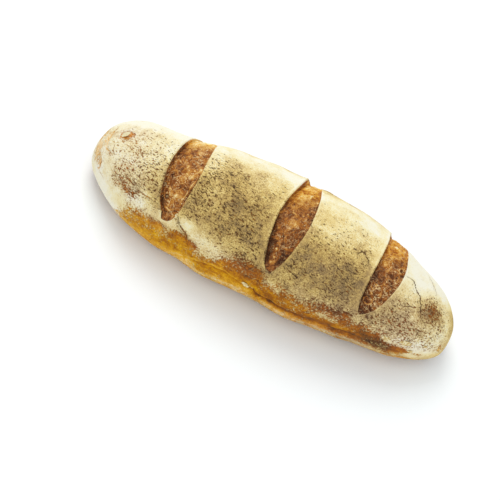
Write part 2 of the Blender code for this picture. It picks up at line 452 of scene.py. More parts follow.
@dataclass(frozen=True)
class Bump:
    """A round hill or hollow on a chart of the crust, as a Gaussian of (x, angle)."""

    x: float                     # millimetres
    angle: float                 # degrees
    amount: float
    length: float = 30.0         # millimetres along the loaf
    turn: float = 45.0           # degrees round it

    def spread(self, x: Array, angle: Array) -> Array:
        """The amount at each place, with x in millimetres: exp(-(x/length)^2 - (angle/turn)^2)."""
        off = (angle - self.angle + 180.0) % 360.0 - 180.0
        return self.amount * np.exp(-((x - self.x) / self.length) ** 2 - (off / self.turn) ** 2)


def chart(x: Array, angle: Array, bumps: Rows) -> Array:
    """Add up the hills of a chart at each place: a row for each Bump, with x in millimetres."""
    return np.sum([Bump(*row).spread(x, angle) for row in bumps], axis=0)


@dataclass(frozen=True)
class Line:
    """A crack, fold or scratch that runs over the crust through a few places."""

    places: Knots                # (millimetres along, degrees round)
    width: float                 # millimetres, from its middle to where it has all but closed
    depth: float                 # millimetres
    dark: float = 1.0            # how dark its bottom looks to 1, and below 0 how pale
    tip: float = 0.3             # how narrow it ends, and over what share of its length
    tip_length: float = 0.25

    def side(self, x: Array, angle: Array) -> tuple[Array, Array]:
        """Where a place lies beside the line.

        Returns:
            Distance from the line in millimetres, positive on its left side, and a taper from
            1 along the line to tip at its ends.
        """
        closest = np.full(x.shape, FAR)
        taper = np.zeros(x.shape)
        pieces = len(self.places) - 1
        for step, (start, end) in enumerate(itertools.pairwise(self.places)):
            run, rise = end[0] - start[0], (end[1] - start[1]) * ARC
            ahead, aside = x - start[0], (angle - start[1]) * ARC
            share = np.clip((ahead * run + aside * rise) / (run ** 2 + rise ** 2), 0.0, 1.0)
            distance = np.hypot(ahead - share * run, aside - share * rise)
            here = distance < np.abs(closest)
            whole = (step + share) / pieces
            narrowing = smooth(np.minimum(whole, 1.0 - whole) / self.tip_length)
            taper = np.where(here, self.tip + (1.0 - self.tip) * narrowing, taper)
            closest = np.where(here, np.copysign(distance, run * aside - rise * ahead), closest)
        return closest, taper


@dataclass(frozen=True)
class Spot:
    """A round mark in a slash: a blister, pit, curl or fleck."""

    x: float                     # millimetres
    angle: float
    radius: float                # millimetres
    height: float                # millimetres, below 0 for a pit
    tone: float                  # how much lighter (or darker, below 0) it is
    ring: float = 0.0            # 1 for a burst blister that left only its rim
    rim_width: float = 0.30      # of that rim, in radii

    def distance(self, x: Array, angle: Array) -> Array:
        """Distance from its centre, in radii."""
        return np.hypot(x - self.x, (angle - self.angle) * ARC) / self.radius

    def form(self, x: Array, angle: Array) -> Array:
        """1 in the spot: a dome exp(-distance^3), or a rim exp(-((distance - 1)/rim_width)^2)."""
        distance = self.distance(x, angle)
        dome = np.exp(-distance ** 3)
        rim = np.exp(-((distance - 1.0) / self.rim_width) ** 2)
        return dome * (1.0 - self.ring) + rim * self.ring


@dataclass(frozen=True)
class Crease:
    """The seam that burst low on the near side: the crust above it stands over it as a lip."""

    path: Knots = (              # (millimetres along, degrees round)
        (-46, -93), (-42, -91), (-36, -89.5), (-30, -87), (-21, -84.3), (-14, -83.6), (-7, -85.5),
        (0, -87.5), (5, -87.3), (9, -86.5), (12, -88.6), (17, -89.4), (26, -90.3), (37, -90.6),
        (50, -89.6), (62, -89.4), (76, -88), (92, -86))
    opening: Knots = (           # (millimetres along, millimetres deep)
        (-46, 0.0), (-38, 0.5), (-10, 0.7), (2, 0.9), (7, 1.8), (14, 3.2), (24, 3.0), (34, 2.2),
        (46, 1.4), (60, 0.9), (80, 0.8), (92, 0.0))
    under_lip: float = 0.8       # width of the groove above its middle, millimetres
    below: float = 2.4           # and below it, where the wall slopes away
    lip: float = 0.32            # height of the lip as a share of the depth
    lip_place: float = 1.2       # millimetres above the middle where it stands highest
    lip_width: float = 6.5       # and over which it sinks back into the crust
    seam: Numbers = (0.2, 1.1, 1.3)  # painted shade of the groove: depth from which it is painted dark, how fast, and how dark at most
    seam_fade: Numbers = (22.0, 20.0, 0.6)  # from where (mm along), over how much and by how much
    seam_reach: float = 3.84     # millimetres beside it within which the finish draws it
    seam_place: float = 0.55     # how far below its middle it is drawn, as a share of its depth
    seam_width: Numbers = (0.5, 0.3)  # millimetres, and how much more for one of depth
    ridge_highlight: Numbers = (1.2, 3.0, 0.16)  # painted highlight on the lip's ridge: millimetres across, how soon it starts, how much paler it is painted
    ridge_end: Numbers = (10.0, 20.0)  # millimetres along
    gap_shade: Numbers = (0.5, 0.35, 2.4, 0.20)  # painted shade under the lip: width and widening, full depth, and how dark it is painted

    def offset(self, x: Array, angle: Array, wobble: Array) -> Array:
        """Millimetres that a place lies above the middle of the groove, with x in millimetres."""
        return (angle + wobble - along_knots(x, self.path)) * ARC

    def relief(self, x: Array, angle: Array, wobble: Array) -> Array:
        """Height in metres: a groove -depth * exp(-(offset/width)^2), and the lip over it.

        The lip rises with an eased step from the groove's middle to lip_place, and sinks again
        as exp(-((offset - lip_place)/lip_width)^2).
        """
        offset = self.offset(x, angle, wobble)
        width = np.where(offset > 0.0, self.under_lip, self.below)
        groove = -np.exp(-(offset / width) ** 2)
        past = np.clip(offset - self.lip_place, 0.0, None) / self.lip_width
        lip = self.lip * smooth(offset / self.lip_place) * np.exp(-past ** 2)
        return along_knots(x, self.opening) * MM * (groove + lip)

    def colour(self, x: Array, angle: Array, wobble: Array, found: dict[str, Array]) -> None:
        """Paint shade into the seam and into the gap under the lip, and paint a highlight along the
        lip's ridge.

        The seam's painted shade is drawn as a named crack: its signed distance and its strength.
        """
        offset = self.offset(x, angle, wobble)
        depth = along_knots(x, self.opening)
        # painted shade in the groove: the deeper it is, the darker it is drawn
        least, darkening, most = self.seam
        seam = np.clip(darkening * (depth - least), 0.0, most)
        seam = seam * (np.abs(offset) < self.seam_reach)
        start, length, amount = self.seam_fade
        seam = seam * (1.0 - amount * smooth((x - start) / length))
        # a painted highlight makes the lip's ridge paler
        across, starting, pale = self.ridge_highlight
        ridge_highlight = np.exp(-((offset - self.lip_place) / across) ** 2)
        ridge_highlight = ridge_highlight * np.clip(seam * starting, 0.0, 1.0)
        end, length = self.ridge_end
        found["bake_and_shade"] = found["bake_and_shade"] - pale * ridge_highlight * smooth((end - x) / length)
        below = offset + self.seam_place * depth
        # painted shade in the gap under the lip, added to the bake attribute
        width, widening, full, dark = self.gap_shade
        gap_shade = np.exp(-(below / (width + widening * depth)) ** 2) * np.clip(depth / full, 0.0, 1.0)
        found["bake_and_shade"] = found["bake_and_shade"] + dark * gap_shade
        width, widening = self.seam_width
        found["beside"] = np.where(seam > 0.0, below / (width + widening * depth),
                                   found["beside"])
        found["crack"] = np.where(seam > 0.0, seam, found["crack"])


@dataclass(frozen=True)
class Rings:
    """The two-parameter grid of the shell: one row for each ring, one column for each angle."""

    x: Array
    angle: Array
    sunk: Array                  # 0 on the crust and 1 on a slash's floor
    extra: Array                 # further lift of a rim's lip, metres
    slash: Array                 # number of the slash that the row belongs to, or -1


@dataclass
class RingLayout:
    """Where the rings of the shell run: along the rims of the slashes, and evenly between them."""

    columns: int = 272
    fine_step: float = 0.70      # millimetres round the loaf where it is seen, and elsewhere
    coarse_step: float = 1.85
    fine_from: float = -122.0    # degrees between which the fine step holds
    fine_to: float = 84.0
    fine_fade: float = 12.0      # degrees over which one step changes to the other
    samples: int = 3601          # of the girth, to measure it
    left_end: int = 62           # numbers of rings, which keep the shell under 200,000 triangles in all
    right_end: int = 56
    between: tuple[int, int] = (46, 42)
    border: int = 5
    floor: int = 33
    border_width: float = 0.0035
    crowding: float = 2.0        # rings crowd towards the poles by this power
    full_lip: float = 0.009      # width of slash at which its lips have their full size
    # from the rim inwards: reach (mm), how far sunk (share) and extra lift (mm)
    left_lip: tuple[tuple[float, float, float], ...] = (
        (0.00, 0.00, 0.00), (0.55, 0.00, 0.14), (1.00, 0.03, 0.05), (1.20, 0.22, 0.00),
        (1.05, 0.55, 0.00), (0.80, 0.95, -0.25), (1.25, 1.00, -0.45))
    left_foot: float = 2.10      # where the floor starts (mm)
    right_lip: tuple[tuple[float, float, float], ...] = (
        (1.45, 1.00, 0.00), (0.95, 0.86, -0.04), (0.55, 0.48, 0.00), (0.25, 0.12, 0.06),
        (0.00, 0.00, 0.04))

    def column_angles(self, dough: Dough) -> Array:
        """Angles of the columns, so that steps round the loaf are fine on the side that shows.

        The count of steps is the integral of arc length / step, and its inverse is read at
        whole numbers of columns.
        """
        angle = np.linspace(-180.0, 180.0, self.samples)
        points = dough.point(np.zeros_like(angle), angle)
        arc = np.linalg.norm(np.diff(points, axis=0), axis=-1) / MM
        middle = (angle[1:] + angle[:-1]) / 2
        inside = smooth((middle - self.fine_from) / self.fine_fade + 1.0)
        inside = inside * smooth((self.fine_to - middle) / self.fine_fade + 1.0)
        step = self.coarse_step + (self.fine_step - self.coarse_step) * inside
        count = np.concatenate([[0.0], np.cumsum(arc / step)])
        wanted = np.arange(self.columns) * count[-1] / self.columns
        return np.interp(wanted, count, angle)

    def build(self, dough: Dough) -> Rings:
        """Lay out all rings but the two poles.

        Between two named lines the rings are evenly spaced, x = start + (end - start) * share.
        Over a lip they follow its profile, which may turn back under itself.
        """
        angle = self.column_angles(dough)
        half = dough.length / 2
        rows: list[tuple[Array, float, float, int]] = []

        def spread(start: Array, end: Array | float, shares: Array, sunk: float = 0.0,
                   number: int = -1) -> None:
            """Add rings at shares of the way from a start to an end."""
            rows.extend((start + (end - start) * share, sunk, 0.0, number) for share in shares)

        start = np.full_like(angle, -half)
        near = np.arange(self.border) / self.border
        for number, (slash, count) in enumerate(zip(SLASHES, (self.left_end, *self.between))):
            left, right = slash.rims(angle)
            lip = MM * smooth((right - left) / self.full_lip)
            first = number == 0
            shares = np.arange(1 if first else 0, count) / count
            spread(start, left - self.border_width, shares ** (self.crowding if first else 1.0))
            spread(left - self.border_width, left, near)
            rows += [(left + reach * lip, *form, number) for reach, *form in self.left_lip]
            foot, top = left + self.left_foot * lip, right - self.right_lip[0][0] * lip
            spread(foot, top, np.arange(self.floor) / self.floor, 1.0, number)
            rows += [(right - reach * lip, *form, number) for reach, *form in self.right_lip]
            start = right + self.border_width
            spread(right, start, near[1:])
        shares = np.arange(self.right_end) / self.right_end
        spread(start, half, 1.0 - (1.0 - shares) ** self.crowding)
        x, sunk, extra, slash = (np.array(column) for column in zip(*rows))
        ones = np.ones_like(angle)
        return Rings(x, np.tile(angle, (len(rows), 1)), np.outer(sunk, ones),
                     np.outer(extra * MM, ones), slash)


@dataclass
class LoafRelief:
    """Every height that the crust and the slashes have above the plain dough."""

    left_depth: float = 0.0030   # of a slash's floor under the flap
    right_depth: float = 0.0014  # of the floor at the right rim
    flap_length: float = 0.011   # the lifted crust to the left of a slash
    flap_lift: float = 0.0013
    far_from: float = 0.0        # degrees between which a slash changes to its far end
    far_to: float = 44.0
    far_swell: float = 0.0008    # how far the right of the floor bulges there
    crease: Crease = Crease()
    bulges: Rows = (             # each row is a Bump, with its amount in millimetres
        (-118, 50, 2.7), (-90, 50, -4.1), (-62, 50, -2.9), (-30, 50, 1.5), (5, 50, -1.8),
        (40, 50, 2.7), (108, 50, -1.0), (-118, -95, -2.1), (-90, -95, 4.6), (-30, -95, 1.4),
        (5, -95, -2.3), (40, -95, -0.8), (75, -95, -3.2), (108, -95, -1.4), (19, 46, 0.9, 5, 9))
    lump_height: float = 0.00022  # gentle unevenness of hand-shaped dough
    lump_waves: tuple[tuple[float, int, float], ...] = (
        (0.071, 1, 0.4), (0.044, 2, 2.1), (0.053, -3, 4.0), (0.034, -1, 5.2))

    def dough_lumps(self, x: Array, angle: Array) -> Array:
        """Broad swellings as Gaussian hills, and slow sine waves that wind round the loaf."""
        height = MM * chart(x / MM, angle, self.bulges)
        for wavelength, lobes, phase in self.lump_waves:
            turn = 2.0 * math.pi * x / wavelength + lobes * np.radians(angle) + phase
            height = height + self.lump_height * np.sin(turn)
        return height

    def slash_height(self, rings: Rings) -> Array:
        """Flaps, lips and swollen floors of the slashes.

        The floor lies left_depth * (1 - across)^2 + right_depth * across^2 deep, the flap
        decays as exp(-distance / flap_length), and a lip blends the two by its sunk share.
        """
        height = np.zeros_like(rings.x)
        reached = smooth((rings.angle - self.far_from) / (self.far_to - self.far_from))
        for number, slash in enumerate(SLASHES):
            left, right = slash.rims(rings.angle)
            across = np.clip((rings.x - left) / (right - left), 0.0, 1.0)
            depth = self.left_depth + (slash.far_depth - self.left_depth) * reached
            floor = -depth * (1.0 - across) ** 2
            floor = floor - (self.right_depth - self.far_swell * reached) * across ** 2
            mine = (rings.slash == number)[:, None]
            lift = self.flap_lift + (slash.far_lift - self.flap_lift) * reached
            flap = lift * np.exp(-np.clip(left - rings.x, 0.0, None) / self.flap_length)
            before = (rings.x < left) & ~mine
            flap = np.where(mine, lift * (across < 0.5), flap * before)
            inside = flap * (1.0 - rings.sunk) + floor * rings.sunk + rings.extra
            height = height + slash.strength(rings.angle) * np.where(mine, inside, flap)
        return height


@dataclass(frozen=True)
class Layer:
    """One chart: lines between knots of (degrees, value), round hills, and blotches."""

    blotches: float              # how much it takes of the crust's blotches
    around: Knots
    bumps: Rows

    def read(self, x: Array, angle: Array, blotch: Array) -> Array:
        """Read the chart at each place, with x in millimetres."""
        return along_knots(angle, self.around) + chart(x, angle, self.bumps) + self.blotches * blotch


@dataclass
class CrustChart:
    """Charts of the crust: where flour lies, how it toasted, and how dark the crust baked, with a
    patch of painted shade.
    """

    # edges of the floured top: degrees at each x (mm), on the near side and on the far one
    near_edge: Knots = (
        (-140, -112), (-104, -100), (-97, -88), (-90, -80), (-80, -75), (-70, -71), (-58, -69),
        (-50, -66), (-44, -71), (-36, -76), (-24, -78), (-16, -70), (-8, -64), (2, -62), (9, -65),
        (20, -71), (32, -71), (45, -67), (58, -64), (70, -64), (78, -71), (90, -68), (100, -73),
        (109, -77), (114, -84), (119, -96), (126, -106), (140, -115))
    far_edge: Knots = (
        (-140, 110), (-110, 96), (-80, 80), (-45, 84), (-20, 76), (15, 81), (50, 75), (85, 82),
        (112, 92), (140, 112))
    edge_width: float = 20.0     # degrees over which the flour thins out at those edges
    edge_wander: float = 4.0     # degrees
    wander_size: float = 11.0    # millimetres
    # stray flour below the near edge: how much of it at each x (mm)
    edge_dust: Knots = (
        (-130, 0.0), (-100, 0.26), (-60, 0.38), (-30, 0.12), (0, 0.24), (60, 0.24), (110, 0.1),
        (130, 0.0))
    edge_dust_below: float = 11.0  # degrees below the edge
    edge_dust_width: float = 9.0
    fullest: float = 1.30        # how thick the flour lies between the edges
    barest: float = -0.6         # where not even stray specks of it lie
    most: float = 1.3            # of any chart
    blotch_height: float = 0.10
    blotch_size: float = 16.0    # millimetres
    flour_blotches: float = 0.5
    under_flour: Knots = (
        (-180, 0.45), (-125, 0.42), (-108, 0.3), (-99, 0.16), (-91, -0.12), (-84, -0.12),
        (-60, 0.0), (94, 0.0), (104, 0.3), (120, 0.42), (180, 0.45))
    # each row is a Bump: millimetres along, degrees round, amount, length and turn
    flour: Rows = (
        (-113, -90, 0.8, 20, 14), (-62, -68, 0.3, 9, 5), (-46, -63, 0.3, 12, 6),
        (-90, -65, -0.5, 8, 5), (-20, -66, -0.2, 10, 8), (59, -77.5, 0.75, 9, 4),
        (46, -101, 0.5, 2.5, 6), (124, -88, 0.45, 11, 20), (119, -12, -1.0, 9.5, 18),
        (-100, -60, -0.8, 14, 9), (-113, -66, -0.1, 8, 8), (-118, -9.5, -1.3, 5, 5.5),
        (-115, -3, -1.0, 4, 5), (-133, -45, -1.0, 4.5, 26), (-126, -60, -0.7, 4, 16),
        (137, 25, -0.3, 5, 40), (114.5, -83.0, -1.9, 6, 6), (125.5, -88, -1.35, 6, 5),
        (136, -60, -0.75, 4.5, 22), (120, -99, -0.6, 12, 7), (18, -82, -0.2, 14, 5),
        (-128, -12, -0.85, 3, 18), (-135, -5, -0.85, 4, 26), (121.5, -78, 0.4, 4, 4),
        (-61, -65, 0.2, 6, 3.5), (-44.5, -71, -0.5, 2.5, 4), (-42, -76, -0.6, 2.5, 4),
        (108, -100, -0.35, 16, 8), (78, -90, -0.25, 12, 5), (45, -66, -0.2, 14, 5),
        (66, -62, -0.35, 8, 8), (119, -74, -0.3, 8, 11), (96, -48, -0.42, 10, 14),
        (-10, -62, -0.2, 9, 5), (-6, -71, 0.1, 12, 6), (-37, -74, -0.95, 4.0, 4),
        (25, 50, -0.85, 34, 11), (-38, 51, -0.6, 12, 9), (-84, 52, -0.3, 9, 9),
        (-8, 49, -0.45, 10, 9), (15, -65, -0.3, 18, 6), (75, -45, -0.22, 26, 14),
        (85, -101, 0.65, 30, 7), (101, -93, 0.35, 15, 7), (104, -98, 0.35, 14, 6),
        (-76, -101, -0.28, 26, 9), (-26, -98, 0.12, 24, 6), (-14, -84, -0.15, 12, 5),
        (12, -86, -0.15, 8, 5), (120, -94, 0.62, 11, 6), (-66, -75, -0.22, 17, 5),
        (-50, -74, -0.25, 5, 5), (108, -80, 0.2, 8, 6), (20, -100, 0.15, 40, 9),
        (-120, -40, 0.1, 6, 16), (5, -86, 0.55, 3.2, 3.5))
    toast: Layer = Layer(1.0, (  # how brown the flour toasted
        (-180, 0.62), (-100, 0.5), (-75, 0.5), (-62, 0.58), (-48, 0.76), (-20, 0.7), (0, 0.5),
        (10, 0.36), (18, 0.15), (27, 0.05), (47, 0.08), (56, 0.28), (68, 0.46), (90, 0.52),
        (180, 0.62)), (
        (-115, -30, -0.36, 30, 50), (102, 5, -0.42, 14, 22), (-50, -60, -0.28, 7, 6),
        (-38, -66, -0.18, 9, 5), (-22, -68, -0.18, 12, 10), (-62, -68, -0.35, 10, 7),
        (-118, -5, -0.25, 7, 10), (121, -82, -0.08, 8, 9), (130, -74, -0.12, 7, 10),
        (112, -68, -0.22, 7, 5), (-84, -68, -0.22, 16, 6), (-98, -35, -0.09, 16, 26),
        (-20, -36, -0.06, 40, 26), (99, -38, -0.1, 14, 22), (-47, -58, -0.1, 5, 4),
        (-115, -88, -0.35, 24, 16), (120, -66, -0.22, 16, 26), (45, -36, 0.16, 20, 22),
        (-15, -35, 0.12, 18, 22), (36, -8, -0.26, 15, 12), (126, -30, -0.2, 8, 60),
        (-53, 2, -0.24, 7, 14), (-84, -12, -0.26, 7, 22), (24, 46, 0.55, 30, 13),
        (-28, -12, 0.1, 9, 12), (137, 34, 0.85, 8, 26), (70, -45, 0.1, 26, 18),
        (-130, -60, -0.25, 10, 30), (-36, 46, 0.42, 8, 12), (-8, 46, 0.22, 9, 13),
        (119, -12, 0.3, 8, 14), (104, -92, 0.25, 14, 12), (-118, -32, -0.22, 10, 20),
        (-137, -30, -0.3, 5, 50), (-109, 5, 0.1, 10, 16), (-86, -56, -0.12, 10, 10),
        (-108, -34, 0.07, 26, 34), (-79, -46, 0.07, 8, 10), (101, -21, -0.12, 7, 9),
        (125, 24, 0.12, 7, 14), (29, 5, 0.12, 5, 8), (44, 4, -0.1, 5, 8), (36, -28, 0.12, 7, 8),
        (-5, -50, -0.1, 7, 6), (131, -50, -0.1, 7, 9), (-43, -24, -0.08, 6, 10),
        (-30, -26, 0.08, 6, 6), (55, -50, -0.1, 7, 8), (29, -43, -0.08, 6, 7),
        (131, -40, 0.04, 8, 28), (122, -86, -0.05, 12, 10), (-32, 9, 0.1, 18, 12),
        (36, -1, 0.12, 8, 9), (-112, -103, -0.4, 26, 8), (-66, -72, 0.3, 10, 6),
        (-12, -63, 0.15, 8, 6), (-100, -66, 0.1, 9, 8), (12, -64, 0.22, 18, 6),
        (-60, -46, 0.18, 7, 9), (134, -38, -0.38, 8, 26), (86, 40, 0.1, 6, 14),
        (-100, -38, -0.1, 22, 20)))
    crackle: Layer = Layer(1.5, (  # how densely the flour cracked
        (-180, 0.2), (-82, 0.2), (-70, 0.62), (-60, 0.78), (-40, 0.88), (-15, 0.84), (0, 0.72),
        (12, 0.54), (20, 0.34), (28, 0.12), (60, 0.05), (90, 0.1), (180, 0.2)), (
        (-124, 14, -0.2, 14, 20), (-110, -92, -0.4, 25, 10), (-120, -58, -0.75, 6, 11),
        (104, 6, -0.8, 13, 16), (-45, -61, -0.5, 10, 6), (-48, -28, 0.24, 9, 28),
        (-96, -32, 0.26, 18, 30), (-110, 8, 0.16, 12, 14), (100, -52, 0.32, 18, 20),
        (-62, -68, -0.5, 9, 5), (36, -6, -0.14, 12, 10), (128, -64, -0.2, 8, 20),
        (135, -35, -0.5, 8, 34), (118, -66, 0.6, 16, 16), (-101, -58, 0.4, 15, 10),
        (121, -85, -0.5, 12, 8), (128, -30, 0.45, 8, 26), (102, -35, -0.1, 10, 20),
        (-112, -30, -0.11, 16, 30), (-111, -43, -0.1, 7, 9), (20, 44, 0.25, 34, 12),
        (-134, -30, -0.5, 8, 50)))
    bake_and_shade: Layer = Layer(0.6, (  # how dark the bare crust baked, with a patch of painted shade
        (-180, 0.66), (-135, 0.6), (-112, 0.36), (-98, 0.3), (-90, 0.4), (-82, 0.48), (-70, 0.62),
        (-55, 0.8), (0, 0.82), (50, 0.56), (72, 0.5), (84, 0.42), (96, 0.32), (112, 0.34),
        (135, 0.6), (180, 0.66)), (
        (-14, -87, -0.06, 18, 5), (-5, -70, 0.06, 10, 6), (97, -82, 0.36, 14, 9),
        (97, -89, 0.2, 13, 7), (106, -99, 0.16, 16, 7), (-22, -98, -0.1, 24, 7),
        (-112, -15, -0.16, 24, 36), (48, -86, 0.12, 26, 8), (64, -68, 0.1, 16, 9),
        (-118, -20, -0.2, 22, 60), (-133, -35, -0.54, 8, 60), (137, -40, -0.28, 6, 60),
        # the third bump of the next row, at -68 mm and -99 degrees, is painted shade along the lower
        # edge
        (-66, -77, -0.05, 14, 6), (-12, -91, 0.14, 10, 5), (-68, -99, 0.1, 16, 6),
        (-2, -69, -0.06, 8, 6), (-47, -75, -0.1, 6, 5), (118, -82, -0.06, 14, 12),
        (125, -88, 0.1, 7, 6), (106, -86, 0.16, 7, 5), (74, -92, 0.14, 14, 6),
        (36, -101, -0.1, 22, 6), (-48, -79, -0.12, 8, 8), (60, -81, -0.06, 8, 4),
        (119, -12, -0.04, 10, 18), (116, -45, -0.14, 24, 40), (-118, -8, -0.15, 7, 10),
        (-60, -98, -0.12, 40, 8), (-35, -88, 0.05, 36, 6), (62, -88, 0.16, 26, 3.5),
        (5, -86, -0.2, 3, 4)))
    ruddy: Layer = Layer(-1.0, (  # how red-brown it is, from golden
        (-180, 0.35), (-100, 0.3), (-86, 0.0), (-72, 0.36), (-58, 0.12), (30, 0.05), (50, 0.55),
        (70, 0.5), (90, 0.15), (180, 0.35)), (
        (-105, -52, 0.6, 22, 24), (-5, -68, 0.5, 12, 7), (60, -66, 0.45, 14, 9),
        (104, -60, 0.4, 18, 22), (70, -98, 0.7, 46, 9), (-70, -75, 0.2, 12, 6),
        (74, -45, 0.45, 26, 22), (-32, 10, 0.4, 18, 13), (-112, 4, 0.35, 16, 18),
        (118, -76, 0.45, 14, 14), (-132, -40, 0.4, 8, 40), (-37, -74, 0.5, 5, 5),
        (119, -12, 0.15, 12, 16), (108, -40, 0.5, 22, 40), (-112, -15, 0.35, 22, 36),
        (-118, -6, 0.5, 8, 10)))
    rim_border: float = 3.0      # millimetres beside a slash where the flour stayed whole
    rim_calm: Knots = ((0.15, 0.30), (0.55, 0.45), (0.80, 0.70))  # left and right, by slash
    rim_edge: float = 0.8        # millimetres of paler crust along a rim itself
    rim_opens: float = 3.0       # how soon past its tips a slash has such rims
    calm_pale: float = 0.06      # how much less toasted the flour is there, and along the rim
    edge_pale: float = 0.10

    def beside_slashes(self, rings: Rings) -> tuple[Array, Array]:
        """How calm and how pale the crust is beside the slashes.

        Returns:
            rim_calm at a rim, falling off as exp(-(distance/rim_border)^2), and 1 at a rim,
            falling off as exp(-(distance/rim_edge)^2).
        """
        calm, edge = np.zeros_like(rings.x), np.zeros_like(rings.x)
        for slash, (left_calm, right_calm) in zip(SLASHES, self.rim_calm):
            left, right = slash.rims(rings.angle)
            opened = smooth(slash.strength(rings.angle) * self.rim_opens)
            for distance, amount in ((left - rings.x, left_calm), (rings.x - right, right_calm)):
                away = np.where(distance < 0.0, FAR, distance) / MM
                calm = np.maximum(calm, amount * opened * np.exp(-(away / self.rim_border) ** 2))
                edge = np.maximum(edge, opened * np.exp(-(away / self.rim_edge) ** 2))
        return calm, edge

    def lying_flour(self, rings: Rings, plain: Array) -> Array:
        """How much flour fell between the edges, beyond them, and under the loaf."""
        x, angle = rings.x / MM, rings.angle
        wander = self.edge_wander * layered_lumps(plain, self.wander_size * MM, Seed.FLOUR_EDGE)
        near = along_knots(x, self.near_edge)
        above = (angle + wander - near) / self.edge_width
        below = (along_knots(x, self.far_edge) - angle - wander) / self.edge_width
        flour = self.fullest * smooth(above + 0.5) * smooth(below + 0.5)
        off = (angle - near + self.edge_dust_below) / self.edge_dust_width
        stray = along_knots(x, self.edge_dust) * np.exp(-off ** 2)
        return flour + along_knots(angle, self.under_flour) + stray

    def read(self, rings: Rings, plain: Array) -> dict[str, Array]:
        """Read every chart at every place of the shell.

        Args:
            rings: The grid.
            plain: The same places on the plain dough, in metres.

        Returns:
            One array for each attribute that the crust's finish reads.
        """
        x, angle = rings.x / MM, rings.angle
        blotch = self.blotch_height * layered_lumps(plain, self.blotch_size * MM, Seed.BLOTCHES)
        calm, edge = self.beside_slashes(rings)
        toast, crackle, bake_and_shade, ruddy = (
            layer.read(x, angle, blotch)
            for layer in (self.toast, self.crackle, self.bake_and_shade, self.ruddy))
        flour = self.lying_flour(rings, plain) + chart(x, angle, self.flour)
        found = {
            "toast": toast - self.calm_pale * calm - self.edge_pale * edge,
            "crackle": crackle * (1.0 - calm),
            "bake_and_shade": bake_and_shade,
            "ruddy": ruddy,
        }
        found = {name: np.clip(value, 0.0, self.most) for name, value in found.items()}
        flour = flour + self.flour_blotches * blotch
        return found | {"flour": np.clip(flour, self.barest, self.most)}


